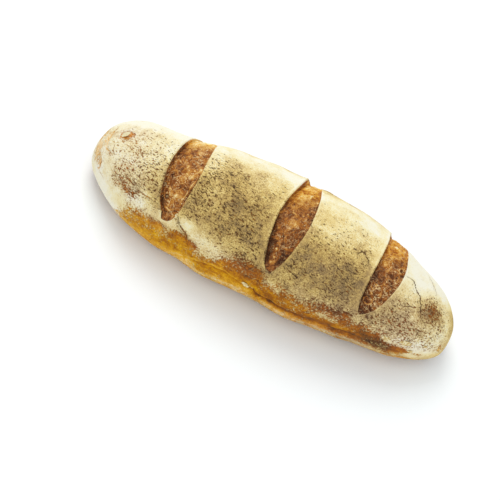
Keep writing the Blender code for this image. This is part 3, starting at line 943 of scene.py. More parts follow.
@dataclass
class CrustMarks:
    """The cracks, folds and scratches of the crust that are large enough to have a place."""

    wobble: float = 0.7          # millimetres that a mark wanders off its line
    wobble_size: float = 3.2     # millimetres
    reach: float = 2.4           # millimetres beside it within which the finish draws it
    usual_width: float = 0.7     # width of a line that the finish draws as wide as it would
    lines: tuple[Line, ...] = (
        # the left end: a scratch, a furrow, the arcs where the skin stretched, and a blister
        Line(((-104.8, -13), (-101.4, -20.4), (-98.1, -25.7), (-95.4, -27)), 0.45, 0.5, 0.8),
        Line(((-103, -51.5), (-99, -54.5), (-94, -55.2), (-89, -53.7)), 1.1, 0.8, -0.95),
        Line(((-91, -57.6), (-84, -57.6), (-78.8, -57.9), (-73.5, -58.6)), 0.7, 0.6, -0.9),
        Line(((-127.5, -3), (-128.6, -14), (-128.4, -22), (-125.2, -34), (-120.7, -37.2),
              (-118, -40)), 1.1, 0.5, -0.8),
        Line(((-129.6, -46), (-126.3, -54), (-125.4, -66), (-125.8, -73), (-118, -76.5)),
             1.1, 0.5, -0.75),
        Line(((-133.5, -30), (-132.5, -50), (-133.5, -75)), 0.9, 0.3, -0.7),
        Line(((-122.6, -4.5), (-120.6, -1.2), (-117.5, 0.2), (-114.2, -2.6), (-112.8, -5)),
             0.8, 0.5, -0.9),
        Line(((-124.6, -12.6), (-121.0, -14.2), (-117.0, -14.0), (-114.5, -10.8)), 0.8, 0.5, -0.5),
        # the crack that forks above slash 3, and the one that runs on past its right rim
        Line(((56, -9.7), (59, -6.8), (61.7, -5.8), (64.5, -9), (68, -14.5)), 0.5, 0.55, 0.95),
        Line(((92.5, -0.5), (98, 0.7), (102, -3.3), (107, -7.5), (109.2, -15.5), (112.5, -26.5),
              (118.8, -34.5)), 0.5, 0.7, 0.9),
        Line(((99.2, -20), (101.3, -29), (103.1, -24.1), (106.4, -23.2)), 0.5, 0.4, 0.8),
        Line(((107.5, -49.5), (111.8, -46), (115.3, -45.1), (118.7, -43.8), (122.5, -41)),
             0.55, 0.6, 0.9),
        Line(((115.5, -47.5), (118, -49.2), (120.5, -48.6)), 0.5, 0.4, 0.8),
        Line(((111.4, -69.5), (113.4, -63.5), (116, -57.5)), 0.6, 0.5, 0.9),
        Line(((97.2, -71), (97.8, -66), (100.8, -63.6)), 0.6, 0.5, 0.9),
        Line(((106, -58), (110, -57), (114, -60)), 0.5, 0.4, 0.7),
        Line(((106, 31), (110, 24), (113.8, 16.7), (116.3, 10.3)), 0.5, 0.3, 0.5),
        # the fold that runs down from slash 1's tip, its notch, and cracks in the soft skin
        Line(((-56.3, -56.5), (-52.3, -63.8), (-47.3, -67.2), (-45.2, -69), (-43, -74),
              (-41.9, -78), (-39.9, -82.6)), 0.7, 1.3, 1.0),
        Line(((-39.9, -82.6), (-37.4, -80.8), (-34.4, -79.3)), 0.7, 0.8, 0.7),
        Line(((-30, -86), (-29.6, -90), (-27.9, -97.6)), 0.6, 0.6, 0.7),
        Line(((10.2, -71), (10.7, -78.6), (10.2, -86)), 0.5, 0.7, 0.6),
        Line(((19.4, -90.5), (19.9, -95.5)), 0.6, 0.6, 0.8),
        Line(((30, 47), (48, 44), (60, 47)), 0.7, 0.3, 0.5),
        Line(((-50, 51), (-32, 49), (-14, 52)), 0.7, 0.3, 0.5),
        Line(((74, -60), (70, -66), (62, -68), (52, -71)), 0.7, 0.3, 0.4),
    )

    def read(self, rings: Rings, plain: Array) -> tuple[Array, dict[str, Array]]:
        """Grooves of the marks, and what the finish needs to draw them finer than the grid.

        Returns:
            Heights in metres, at most 0. As "beside", the signed distance from the nearest
            mark, in millimetres of a mark of the usual width. As "crack", how strong it is
            there, fading out within reach.
        """
        size = self.wobble_size * MM
        x = rings.x / MM + self.wobble * layered_lumps(plain, size, Seed.MARKS_ALONG)
        angle = rings.angle + self.wobble / ARC * layered_lumps(plain, size, Seed.MARKS_ROUND)
        depth, strength = np.zeros_like(x), np.zeros_like(x)
        beside, nearest = np.full(x.shape, self.reach), np.full(x.shape, self.reach)
        for line in self.lines:
            distance, taper = line.side(x, angle)
            groove = np.exp(-(distance / (line.width * taper)) ** 2)
            depth = np.maximum(depth, line.depth * groove)
            closer = np.abs(distance) < nearest
            nearest = np.where(closer, np.abs(distance), nearest)
            beside = np.where(closer, distance * self.usual_width / line.width, beside)
            within = fade_out(distance, self.reach)
            strength = np.where(closer, line.dark * taper * within, strength)
        return -depth * MM, {"beside": beside, "crack": strength}


@dataclass(frozen=True)
class SlashLook:
    """How one slash baked, and the shade painted into it: its tones, its marks and how ropey its
    torn crumb is.
    """

    tone: float                  # lightness of its middle, from 0 to 1
    near_shade: float            # how much darker it is towards the near tip
    left_shade: float            # how much darker it is towards the left rim, as painted shade under the flap, and towards the right one
    right_shade: float
    gold_from: float             # degrees from which it turns golden towards its far tip
    far_tone: float              # how much lighter it is there
    cream: float                 # how many pale strands cross it
    spots: tuple[Spot, ...]
    lines: tuple[Line, ...]


def loop(x: float, angle: float, radius: float, start: float = 0.0, sweep: float = 360.0,
         steps: int = 14) -> Knots:
    """Places on a circle, or on an arc of one.

    Args:
        x: Its centre in millimetres.
        angle: Its centre in degrees round the loaf.
        radius: Its radius in millimetres.
        start: Degrees round the circle at which it starts, anticlockwise from +x.
        sweep: Degrees that it runs on from there.
        steps: Number of straight pieces.

    Returns:
        The places, to be joined by a line.
    """
    turns = [math.radians(start + sweep * step / steps) for step in range(steps + 1)]
    return tuple((x + radius * math.cos(t), angle + radius * math.sin(t) / ARC) for t in turns)


SLASH_LOOKS = (
    SlashLook(0.50, 0.06, 0.12, 0.02, 16.0, 0.36, 1.00,
              (Spot(-68.9, -48.3, 2.2, -0.4, -0.20), Spot(-63.1, -43.2, 1.5, 0.4, 0.45),
               Spot(-69.1, -40.0, 1.0, 0.3, 0.45), Spot(-64.9, -54.6, 0.9, 0.3, 0.35),
               Spot(-59.8, -22.5, 1.5, 0.4, 0.35), Spot(-67.1, -13.8, 1.3, 0.4, 0.35),
               Spot(-61.2, -14.3, 1.1, 0.3, 0.30),
               Spot(-63.6, -34.0, 3.4, -0.2, -0.13), Spot(-72.4, -26.5, 2.6, -0.2, -0.12),
               Spot(-65.3, -6.8, 3.0, -0.2, -0.12), Spot(-57.8, -11.4, 1.6, 0.2, 0.22)),
              (Line(((-68.5, -57), (-65.7, -60.8), (-62.3, -59.8), (-59.0, -55.5)), 0.5, 0.7, 0.9),
               Line(((-66.5, -56.5), (-62.6, -57.6), (-59.6, -54.0)), 0.4, -0.3, -0.8),
               Line(((-55.2, -18), (-55.2, -34), (-56.6, -48)), 0.6, 0.8, 0.8),
               Line(((-56.7, -16), (-57.2, -29), (-57.6, -40), (-58.6, -48)), 0.4, -0.5, -0.9),
               Line(loop(-68.9, -48.3, 2.5), 0.35, -0.4, -0.7),
               Line(((-75.9, -41), (-76.2, -37), (-74.0, -35.5), (-72.6, -38)), 0.35, -0.3, -0.7),
               Line(((-68.2, -38), (-65.5, -40), (-62.6, -37), (-60.0, -28)), 0.35, -0.3, -0.6),
               Line(((-72.0, -20), (-70.0, -14), (-71.5, -7), (-69.0, -3)), 0.35, -0.3, -0.5),
               Line(((-75.2, 19), (-73.6, 25), (-70.0, 24), (-67.5, 17)), 0.5, -0.3, -0.9),
               Line(((-72.8, 4), (-71.4, 9.5), (-69.2, 8.0)), 0.4, -0.3, -0.8),
               Line(((-75.5, -27), (-73.0, -21), (-70.2, -24), (-71.5, -30)), 0.35, -0.3, -0.6))),
    SlashLook(0.43, 0.14, 0.22, 0.13, 7.0, 0.12, 0.44,
              (Spot(18.8, 12.0, 0.9, 0.4, 0.65), Spot(11.0, -28.6, 1.1, -0.5, -0.35),
               Spot(6.3, 0.6, 1.3, -0.5, -0.35), Spot(12.6, -52.2, 1.3, 0.2, 0.42),
               Spot(14.0, -50.4, 1.1, 0.2, 0.42), Spot(15.0, -42.5, 1.0, 0.2, 0.40),
               Spot(11.4, -40.3, 1.0, 0.2, 0.50), Spot(12.7, -47.0, 0.8, 0.2, 0.45),
               Spot(0.9, -11.4, 0.9, 0.2, 0.30),
               Spot(10.0, -23.0, 2.2, 0.3, 0.08), Spot(15.9, 29.3, 1.3, -0.4, -0.30)),
              (Line(((8.8, -57.2), (10.5, -57.6), (12.4, -56.6)), 0.6, 0.7, 0.8),
               Line(((8.1, -4.0), (8.6, -6.4), (10.2, -6.6), (11.9, -8.4)), 0.4, -0.4, -1.0),
               Line(((3.5, 17), (8.5, 16), (13.0, 19), (15.8, 26)), 0.6, 0.4, 0.45),
               Line(((13.5, 10), (12.8, 15), (13.8, 20)), 0.35, -0.3, -0.7),
               Line(((6.0, 3.5), (6.6, 9.0), (8.5, 12)), 0.35, -0.3, -0.6))),
    SlashLook(0.42, 0.14, 0.20, 0.12, 7.0, -0.02, 1.00,
              (Spot(78.1, -41.0, 2.0, 0.4, 0.05), Spot(77.8, -33.7, 0.9, 0.3, 0.55),
               Spot(78.1, 24.3, 1.2, 0.4, 0.80), Spot(88.0, 0.9, 1.1, -0.8, -0.55),
               Spot(78.6, -54.6, 1.6, -0.3, -0.35), Spot(76.8, -2.0, 1.2, 0.3, 0.35),
               Spot(79.8, -7.4, 1.0, 0.3, 0.35), Spot(78.3, -24.5, 1.1, 0.3, 0.35),
               Spot(82.0, -20.0, 1.1, 0.3, 0.28)),
              (Line(loop(78.1, -41.3, 2.9, 75.0, 320.0), 0.4, -0.5, -1.0),
               Line(((76.6, -37.4), (79.9, -38.6)), 0.5, 0.5, 0.9),
               Line(loop(87.9, 0.7, 1.7), 0.35, -0.4, -0.7),
               Line(((74.6, 2), (76.5, 6), (79.5, 5)), 0.35, -0.3, -0.7),
               Line(((79.0, -12), (82.0, -14), (85.0, -12)), 0.35, -0.3, -0.6),
               Line(((74.5, -27), (77.5, -29.5), (79.5, -27.5)), 0.35, -0.3, -0.7))),
)


@dataclass
class TornCrumb:
    """The ropey crumb that tore open and baked in a slash."""

    rope_size: float = 0.0046
    rope_height: float = 0.00062
    strand_size: float = 0.0021
    strand_height: float = 0.00042
    ropes_middle: float = 0.4    # what ropes and strands give on average
    grain_size: float = 0.0012
    grain_height: float = 0.00012
    stretch: float = 0.62        # ropes run along the slash, so they are drawn out that way
    reach: float = 1.8           # millimetres beside a line within which the finish draws it
    rope_tone: float = 0.16      # how much lighter ropes, strands, grain and clouds are
    strand_tone: float = 0.16
    grain_tone: float = 0.06
    cloud_tone: float = 0.16
    cloud_size: float = 6.5      # millimetres
    near_from: float = -12.0     # degrees from which a slash darkens towards its near tip
    near_over: float = 30.0
    left_across: float = 0.30    # share of its width over which it darkens to either rim
    right_across: float = 0.22
    wall_shade: float = 0.26     # painted shade: how dark it is right under the left rim
    wall_width: float = 1.2      # millimetres
    wall_far: float = 0.8        # how much of that shade goes where the slash turns golden
    gold_wander: float = 3.0     # degrees that the golden part's edge wanders
    gold_size: float = 5.0       # millimetres
    gold_lean: float = 14.0      # degrees that the right rim's gold starts further on
    gold_width: float = 26.0     # degrees over which it turns golden, and lighter
    light_lead: float = 8.0      # degrees by which that starts earlier
    light_width: float = 36.0
    wall_light_width: float = 30.0
    cream_across: Numbers = (0.55, 0.6)  # how many pale strands at the left, and more at the right
    cream_far: float = 0.4       # how many of them go where it is golden
    cream_clouds: Numbers = (1.2, 0.3, 1.6)  # how clouds share them out, from least to most

    def tones(self, look: SlashLook, angle: Array, across: Array, cloud: Array,
              wander: Array) -> tuple[Array, Array, Array]:
        """How light the middle and rims of a slash are, how golden, and how creamy.

        Args:
            look: How the slash baked.
            angle: Degrees round the loaf.
            across: 0 at the left rim to 1 at the right one.
            cloud: Slow noise from -1 to 1.
            wander: Degrees that the golden part's edge wanders.
        """
        ahead = angle - look.gold_from
        light = -look.near_shade * smooth((self.near_from - angle) / self.near_over)
        # painted shade of the flap, darkening towards the left rim
        light = light - look.left_shade * np.exp(-(across / self.left_across) ** 2)
        light = light - look.right_shade * np.exp(-((1.0 - across) / self.right_across) ** 2)
        light = light + look.far_tone * smooth((ahead + self.light_lead) / self.light_width)
        lean = self.gold_lean * (across - 0.5)
        gold = smooth((ahead + wander - lean) / self.gold_width + 0.5)
        left, more = self.cream_across
        share, least, most = self.cream_clouds
        cream = look.cream * (left + more * across) * (1.0 - self.cream_far * gold)
        return light, gold, cream * np.clip(1.0 + share * cloud, least, most)

    def wall(self, look: SlashLook, rings: Rings, left: Array) -> Array:
        """Painted shade of the torn wall under the left rim, which goes where the slash is golden.
        """
        ahead = rings.angle - look.gold_from + self.light_lead
        shade = self.wall_shade * (1.0 - self.wall_far * smooth(ahead / self.wall_light_width))
        away = (rings.x - left) / (self.wall_width * MM)
        return shade * rings.sunk * np.exp(-away ** 2)

    def read(self, rings: Rings, plain: Array) -> tuple[Array, dict[str, Array]]:
        """Relief and tones of the torn crumb.

        Ropes and strands are ridges where smooth noise crosses zero, spots and lines add their
        own forms, and a place is lighter the higher it stands.

        Returns:
            Heights in metres, and one array for each attribute that the crumb's finish reads.
        """
        x, angle = rings.x / MM, rings.angle
        drawn = plain * np.array([1.0, self.stretch, self.stretch])
        rope = ropes(drawn, self.rope_size, Seed.ROPES) - self.ropes_middle
        strand = ropes(drawn, self.strand_size, Seed.STRANDS) - self.ropes_middle
        grain = lumps(plain, self.grain_size, Seed.GRAIN)
        height = self.rope_height * rope + self.strand_height * strand
        height = height + self.grain_height * grain
        wander = self.gold_wander * layered_lumps(plain, self.gold_size * MM, Seed.GOLD_EDGE)
        cloud = layered_lumps(plain, self.cloud_size * MM, Seed.CLOUDS)
        relief_tone = self.rope_tone * rope + self.strand_tone * strand
        relief_tone = relief_tone + self.grain_tone * grain + self.cloud_tone * cloud
        tone, gold, cream, crack = (np.zeros_like(x) for _ in range(4))
        beside = np.full(x.shape, self.reach)
        for number, (slash, look) in enumerate(zip(SLASHES, SLASH_LOOKS)):
            mine = (rings.slash == number)[:, None] & slash.open_here(angle)
            left, right = slash.rims(angle)
            across = np.clip((rings.x - left) / (right - left), 0.0, 1.0)
            light, turned, pale = self.tones(look, angle, across, cloud, wander)
            here = look.tone + relief_tone + light - self.wall(look, rings, left)
            lift = np.zeros_like(x)
            for spot in look.spots:
                form = spot.form(x, angle)
                lift = lift + spot.height * MM * form
                here = here + spot.tone * form
            for line in look.lines:
                distance, taper = line.side(x, angle)
                lift = lift - line.depth * MM * np.exp(-(distance / (line.width * taper)) ** 2)
                closer = mine & (np.abs(distance) < np.abs(beside))
                beside = np.where(closer, distance, beside)
                within = fade_out(distance, self.reach)
                crack = np.where(closer, line.dark * taper * within, crack)
            height = height + np.where(mine, lift, 0.0)
            tone = np.where(mine, here, tone)
            gold = np.where(mine, turned, gold)
            cream = np.where(mine, pale, cream)
        found = {"tone": tone, "gold": gold, "cream": cream}
        found = {name: np.clip(value, 0.0, 1.0) for name, value in found.items()}
        return height, found | {"strand": crack, "strand_side": beside}


class Surface(Enum):
    """The two surfaces of the loaf, by their place among its material slots."""

    CRUST = 0
    CRUMB = 1


@dataclass
class LoafShell:
    """The whole loaf as one closed shell over a grid of rings and angles."""

    dough: Dough
    layout: RingLayout
    relief: LoafRelief
    charts: CrustChart
    marks: CrustMarks
    crumb: TornCrumb
    name: str = "crusty_loaf"
    skin_height: float = 0.00020  # of the crust's own unevenness
    skin_size: float = 0.0085
    plate_depth: float = 0.00022  # of the small valleys between plates of cracked flour
    plate_size: float = 0.0034
    wrinkle_depth: float = 0.45   # millimetres
    wrinkle_size: float = 0.0062
    wrinkled: Rows = (            # each row is a Bump
        (-25, -90, 1.0, 34, 9), (32, -96, 1.0, 32, 9), (-68, -82, 0.6, 20, 8))
    crease_wobble: float = 0.9    # degrees
    crease_size: float = 5.0      # millimetres
    crumb_row: int = 3            # row of a left lip from which the crumb's finish holds

    def __post_init__(self) -> None:
        """Lay out the grid, and work out its heights and the finishes' attributes."""
        self.rings = self.layout.build(self.dough)
        self.plain = self.dough.point(self.rings.x, self.rings.angle)
        self.height, self.found = self.heights(self.rings, self.plain)

    def height_at(self, x: float, angle: float) -> float:
        """Height above the plain dough, at the place of the grid that is nearest to one.

        Args:
            x: Millimetres along the loaf.
            angle: Degrees round it.
        """
        away = np.hypot(self.rings.x / MM - x, (self.rings.angle - angle) * ARC)
        return float(self.height.ravel()[np.argmin(away)])

    def wrinkles(self, rings: Rings, plain: Array) -> Array:
        """Small folds of the soft skin under the flour's edge on the near side, from 0 to 1."""
        soft = chart(rings.x / MM, rings.angle, self.wrinkled)
        return np.clip(soft, 0.0, 1.0) * ropes(plain, self.wrinkle_size, Seed.WRINKLES)

    def heights(self, rings: Rings, plain: Array) -> tuple[Array, dict[str, Array]]:
        """Add up all relief, and read what the finishes need.

        Returns:
            Heights above the plain dough in metres, and the attributes.
        """
        found = self.charts.read(rings, plain)
        mark_height, lines = self.marks.read(rings, plain)
        torn_height, tones = self.crumb.read(rings, plain)
        found |= lines | tones
        valleys = ropes(plain, self.plate_size, Seed.PLATES) * found["crackle"]
        skin = self.skin_height * layered_lumps(plain, self.skin_size, Seed.SKIN)
        skin = skin - self.plate_depth * valleys
        skin = skin - self.wrinkle_depth * MM * self.wrinkles(rings, plain)
        wobble = layered_lumps(plain, self.crease_size * MM, Seed.CREASE)
        crease = (rings.x / MM, rings.angle, self.crease_wobble * wobble)
        skin = skin + self.relief.crease.relief(*crease) + mark_height
        self.relief.crease.colour(*crease, found)
        opened = np.zeros_like(rings.x)
        for number, slash in enumerate(SLASHES):
            mine = (rings.slash == number)[:, None]
            opened = np.where(mine, slash.strength(rings.angle), opened)
        torn = rings.sunk * opened
        height = self.relief.dough_lumps(rings.x, rings.angle)
        height = height + self.relief.slash_height(rings) + skin * (1.0 - torn)
        height = height + torn_height * torn
        fade = (self.dough.length / 2 - np.abs(rings.x)) / self.dough.pole_fade
        return height * np.clip(fade, 0.0, 1.0), found

    def faces(self, rows: int, columns: int) -> Faces:
        """Quads between neighbouring rings, and a fan of triangles round each pole."""
        turn = np.arange(columns)
        after = (turn + 1) % columns
        last = (rows - 1) * columns
        left_pole = np.full(columns, rows * columns)
        left = np.stack([left_pole, turn, after], axis=-1)
        right = np.stack([left_pole + 1, last + after, last + turn], axis=-1)
        quads = grid_quads(rows, columns, closed=True)
        return [*map(tuple, quads), *map(tuple, left), *map(tuple, right)]

    def surfaces(self, rings: Rings) -> Array:
        """Which finish each quad takes: crumb between a slash's lips and tips, else crust."""
        rows, columns = rings.x.shape
        chosen = np.full((rows - 1, columns), Surface.CRUST.value)
        middle = rings.angle[0] + 0.5 * (np.roll(rings.angle[0], -1) - rings.angle[0])
        for number, slash in enumerate(SLASHES):
            mine = np.flatnonzero(rings.slash == number)
            torn = slice(mine[0] + self.crumb_row, mine[-1])
            chosen[torn, slash.open_here(middle)] = Surface.CRUMB.value
        return chosen.reshape(-1)

    def build(self, finishes: dict[Surface, bpy.types.Material]) -> bpy.types.Object:
        """Make the shell's mesh, store its attributes and dress it.

        Args:
            finishes: The material of each surface.

        Returns:
            The loaf, at the origin, with its place in its mesh.
        """
        rings = self.rings
        outward = self.dough.outward(rings.x, rings.angle)
        points = self.plain + outward * self.height[..., None]
        points[..., 2] = np.maximum(points[..., 2], 0.0)
        half = self.dough.length / 2
        poles = self.dough.point(np.array([-half, half]), np.zeros(2))
        places = np.concatenate([points.reshape(-1, 3), poles])
        attributes = {
            name: np.concatenate([values.ravel(), [values[0].mean(), values[-1].mean()]])
            for name, values in self.found.items()}
        mesh = make_mesh(self.name, places, self.faces(*rings.x.shape), **attributes)
        surfaces = self.surfaces(rings)
        fans = np.full(len(mesh.polygons) - surfaces.size, Surface.CRUST.value)
        mesh.polygons.foreach_set("material_index", np.concatenate([surfaces, fans]))
        for surface in Surface:
            mesh.materials.append(finishes[surface])
        mesh.shade_smooth()
        mesh.update()
        mesh.validate()
        return put_in_scene(self.name, mesh)


@dataclass(frozen=True)
class Flake:
    """One scale of floured skin that came loose and curled up."""

    x: float                     # millimetres
    angle: float
    length: float                # millimetres
    width: float
    turn: float                  # degrees of its length off the loaf's
    lift: float                  # millimetres that its loose end and its sides stand up
    curl: float
    pale: float = 0.0            # how much paler than most it dried


@dataclass
class LooseSkin:
    """The scales of floured skin that stand up where the crust blistered or tore."""

    shell: LoafShell
    flakes: tuple[Flake, ...] = (
        Flake(-117.4, -7.2, 7.0, 4.4, 38, 1.5, 1.0, 0.22),
        Flake(101.0, -71.5, 6.2, 4.4, 18, 0.5, 0.3), Flake(113.2, -67.6, 8.4, 4.8, 12, 0.3, 0.2),
        Flake(119.2, -80.5, 3.6, 2.8, 40, 0.5, 0.3), Flake(-56.2, -57.6, 3.0, 1.8, 75, 0.9, 0.3),
        Flake(3.6, -84.6, 5.2, 3.4, 10, 0.4, 0.4), Flake(7.6, -85.8, 4.2, 2.6, -30, 0.9, 0.4),
        Flake(126.6, -64.8, 3.4, 2.6, 70, 0.4, 0.2),
    )
    thickness: float = 0.0005
    thin_edge: float = 0.75      # share of it that is lost towards the edge
    seat: float = 0.10           # millimetres that a flake stands clear of the crust
    ragged: Numbers = (0.22, 0.55)  # how much its outline varies, over what share of its size
    wavy: Numbers = (0.15, 0.7)    # how many millimetres it waves, over what share of its size
    steps: int = 17
    name: str = "loose_skin"

    def sheets(self, flake: Flake, seed: int) -> Array:
        """Upper and lower face of one flake on a square grid of (across, along).

        The square becomes a disc by x * sqrt(1 - y^2/2) and the like for y. Its loose end rises
        as lift * ((1 + along) / 2)^2, and its sides as curl * across^2.

        Returns:
            Places in metres, of shape (2, steps, steps, 3).
        """
        side = np.linspace(-1.0, 1.0, self.steps)
        square_x, square_y = np.meshgrid(side, side, indexing="ij")
        across = square_x * np.sqrt(1.0 - square_y ** 2 / 2.0)
        along = square_y * np.sqrt(1.0 - square_x ** 2 / 2.0)
        radius = np.hypot(across, along)
        spots = np.stack([across, along, 0.0 * across], axis=-1)
        varies, size = self.ragged
        edge = 1.0 + varies * lumps(spots, size, seed) * radius
        turn = math.radians(flake.turn)
        forward, aside = flake.length / 2 * along * edge, flake.width / 2 * across * edge
        x = flake.x + forward * math.cos(turn) - aside * math.sin(turn)
        angle = flake.angle + (forward * math.sin(turn) + aside * math.cos(turn)) / ARC
        rise = flake.lift * ((1.0 + along) / 2.0) ** 2 + flake.curl * across ** 2 + self.seat
        wave, size = self.wavy
        rise = rise + wave * lumps(spots, size, seed + 1)
        dough, height = self.shell.dough, self.shell.height_at(flake.x, flake.angle)
        outward = dough.outward(x * MM, angle)
        middle = dough.point(x * MM, angle) + outward * (height + rise * MM)[..., None]
        half = self.thickness / 2 * (1.0 - self.thin_edge * radius ** 4)[..., None] * outward
        return np.stack([middle + half, middle - half])

    def faces(self, start: int) -> Faces:
        """Quads of both faces and of the thin edge between them, from a first vertex on."""
        count = self.steps
        upper = grid_quads(count, count)[:, (0, 3, 2, 1)] + start
        lower = upper[:, ::-1] + count * count
        last = count - 1
        steps = np.arange(last)
        rim = np.concatenate([steps, steps * count + last, last * count + last - steps,
                              (last - steps) * count]) + start
        after, below = np.roll(rim, -1), count * count
        edge = np.stack([rim, rim + below, after + below, after], axis=-1)
        return [*map(tuple, np.concatenate([upper, lower, edge]))]

    def build(self, finish: bpy.types.Material) -> bpy.types.Object:
        """Make all flakes as one piece."""
        size = 2 * self.steps ** 2
        places = [self.sheets(flake, Seed.FLAKES + 2 * number).reshape(-1, 3)
                  for number, flake in enumerate(self.flakes)]
        faces = [face for number in range(len(self.flakes)) for face in self.faces(number * size)]
        pale = np.repeat([flake.pale for flake in self.flakes], size)
        mesh = make_mesh(self.name, np.concatenate(places), faces, pale=pale)
        mesh.materials.append(finish)
        mesh.shade_smooth()
        return put_in_scene(self.name, mesh)


@dataclass(frozen=True)
class DriedSkin:
    """Thin floured skin that dried hard: chalky cream, and toasted where it is thinnest."""

    name: str = "dried_floury_skin"
    pitch: float = 0.0016
    roughness: float = 0.85
    specular: float = 0.14
    tones: Stops = ((0.34, "#B08A4E"), (0.48, "#D2B981"), (0.64, "#E2D6AE"))

    def build(self) -> bpy.types.Material:
        """Build the material, with its toasting as noise on object coordinates."""
        finish = Finish(self.name)
        dried = finish.math("ADD", finish.noise(self.pitch), finish.charted("pale"))
        return finish.dress({
            "Base Color": finish.ramp(dried, self.tones),
            "Roughness": self.roughness,
            "Specular IOR Level": self.specular,
        })


@dataclass(frozen=True)
class FlouredCrust:
    """Hearth-baked wheat crust under rice flour that cracked into short worms as it rose.

    Dry flour gives a chalky, matt, cream to tan face. The baked crust shows through its cracks
    and where it rubbed off: straw to golden, then red-brown, with a slight gloss.
    """

    name: str = "floured_bread_crust"
    worm_pitch: float = 0.00105    # spacing of the short winding cracks in the flour
    worm_stretch: float = 2.2      # they run along the way the dough was stretched
    worm_turn: float = -14.0       # degrees off the loaf's length
    bend_pitch: float = 0.0048
    bend: float = 0.0026
    dust_pitch: float = 0.0060     # patches where the flour is thick or thin
    speck_pitch: float = 0.0013    # stray specks of flour, as fine as the picture can show
    grain_pitch: float = 0.00085   # the flour's own grain, as coarse as the picture can show
    blotch_pitch: float = 0.0085
    skin_pitch: float = 0.0034     # mottling of the baked crust
    worm_limit: Range = (0.50, 1.50, 0.22, 0.462)  # how crackled it is, to the level that is cut
    worm_edge: Range = (-0.03, 0.10, 0.95)  # how softly a worm starts, and how bare it ends
    drifts: float = 1.6            # how much the patches, and the specks, count beside the chart
    specks: float = 2.4
    lying: Range = (2.16, 2.80)    # their sum where flour starts to lie, and where it covers
    line_sway: float = 2.6         # how far a named crack wanders off its place
    line_break: float = -2.4       # how much the specks break it up
    line_edge: Range = (-0.45, -1.10)
    grit: Range = (0.0, 1.0, 0.35, 1.25)  # how crackled it is, to how salt-and-pepper it looks
    stains: float = 0.75           # how much the skin's mottling, the flour's, and searing show; searing also darkens the crease's seam as painted shade
    mottling: float = 0.7
    searing_and_seam_shade: float = 0.12
    warmth: float = 2.2            # how far blotches set off a warmer brown
    gloss: Range = (0.0, 1.0, 0.55, 0.95)  # roughness of bare and of floured crust
    specular: float = 0.09
    bump_depth: float = 0.00036
    grain_bump: float = 0.35       # height of the grain as a share of the flour's
    flour_tones: Stops = (
        (0.0, "#EAE3CE"), (0.22, "#E8DAAA"), (0.42, "#DFC688"), (0.54, "#D2B671"),
        (0.74, "#B49355"), (1.0, "#846B43"))
    mauve_tones: Stops = (
        (0.0, "#E9E1CF"), (0.22, "#E3D4B2"), (0.44, "#D3BB8E"), (0.72, "#AC8E64"),
        (1.0, "#7A634A"))
    golden_tones: Stops = (
        (0.0, "#EAD5A0"), (0.22, "#DDA812"), (0.40, "#BE8100"), (0.58, "#9A5A08"),
        (0.78, "#68431F"), (1.0, "#3C2717"))
    ruddy_tones: Stops = (
        (0.0, "#EDD0A6"), (0.22, "#D99F5C"), (0.40, "#BC7629"), (0.58, "#93501D"),
        (0.78, "#66391C"), (1.0, "#3E2312"))

    def build(self) -> bpy.types.Material:
        """Build the material from the shell's attributes and noise on object coordinates."""
        finish = Finish(self.name)
        flour, toast, bake_and_shade, ruddy, crackle, crack, beside = map(
            finish.charted, ("flour", "toast", "bake_and_shade", "ruddy", "crackle", "crack", "beside"))
        # short worm-like cracks: noise on bent and stretched coordinates, cut at a low level
        sway = finish.noise(self.bend_pitch)
        bent = finish.bent(sway, self.bend)
        drawn = finish.drawn_out(bent, self.worm_stretch, self.worm_turn)
        worms = finish.noise(self.worm_pitch, 2.5, at=drawn)
        blotch = finish.noise(self.blotch_pitch, 6.0, 0.75)
        limit = finish.ranged(finish.math("ADD", blotch, crackle), *self.worm_limit)
        stroke = finish.eased(finish.math("SUBTRACT", limit, worms), *self.worm_edge)
        # flour lies in drifts, and thins out speck by speck
        dust = finish.noise(self.dust_pitch, 6.0, 0.70)
        specks = finish.noise(self.speck_pitch, 2.0, 0.6, at=bent)
        heap = finish.scaled(dust, self.drifts, flour)
        lying = finish.eased(finish.scaled(specks, self.specks, heap), *self.lying)
        # named cracks, and the crease's seam of painted shade: a signed distance that changes sign
        # on the crack, bent by noise
        ragged = finish.scaled(sway, self.line_sway, beside)
        off = finish.math("ABSOLUTE", finish.centred(ragged, self.line_sway * NOISE_MIDDLE))
        line = finish.eased(finish.scaled(specks, self.line_break, off), *self.line_edge)
        # below 0 a line bares pale skin, which stretched before it baked
        bared = finish.math("MULTIPLY", line, finish.math("ABSOLUTE", crack), clamp=True)
        seared_and_seam_shade = finish.math("MULTIPLY", line, crack)
        gone = finish.math("MAXIMUM", stroke, bared)
        kept = finish.math("SUBTRACT", 1.0, gone, clamp=True)
        cover = finish.math("MULTIPLY", lying, kept)
        # salt and pepper is strongest where the flour cracked most
        grain = finish.noise(self.grain_pitch, 2.0, 0.6)
        gritty = finish.math("MULTIPLY", finish.centred(grain),
                             finish.ranged(crackle, *self.grit))
        cloudy = finish.centred(blotch)
        mottle = finish.math("ADD", cloudy, gritty)
        toasted = finish.math("ADD", mottle, toast)
        skin = finish.noise(self.skin_pitch, 4.0, 0.62, 0.8, drawn)
        # the bake attribute carries painted shade too, from the crease's gap and one bump of its
        # chart, and so do the sums made from it
        stained_and_shaded = finish.scaled(finish.centred(skin), self.stains, bake_and_shade)
        baked = finish.scaled(mottle, self.mottling, stained_and_shaded)
        # named cracks darken the crust, and the crease's seam darkens it as painted shade
        seen = finish.scaled(seared_and_seam_shade, self.searing_and_seam_shade, baked)
        crust = finish.mix(ruddy, finish.ramp(seen, self.golden_tones),
                           finish.ramp(seen, self.ruddy_tones))
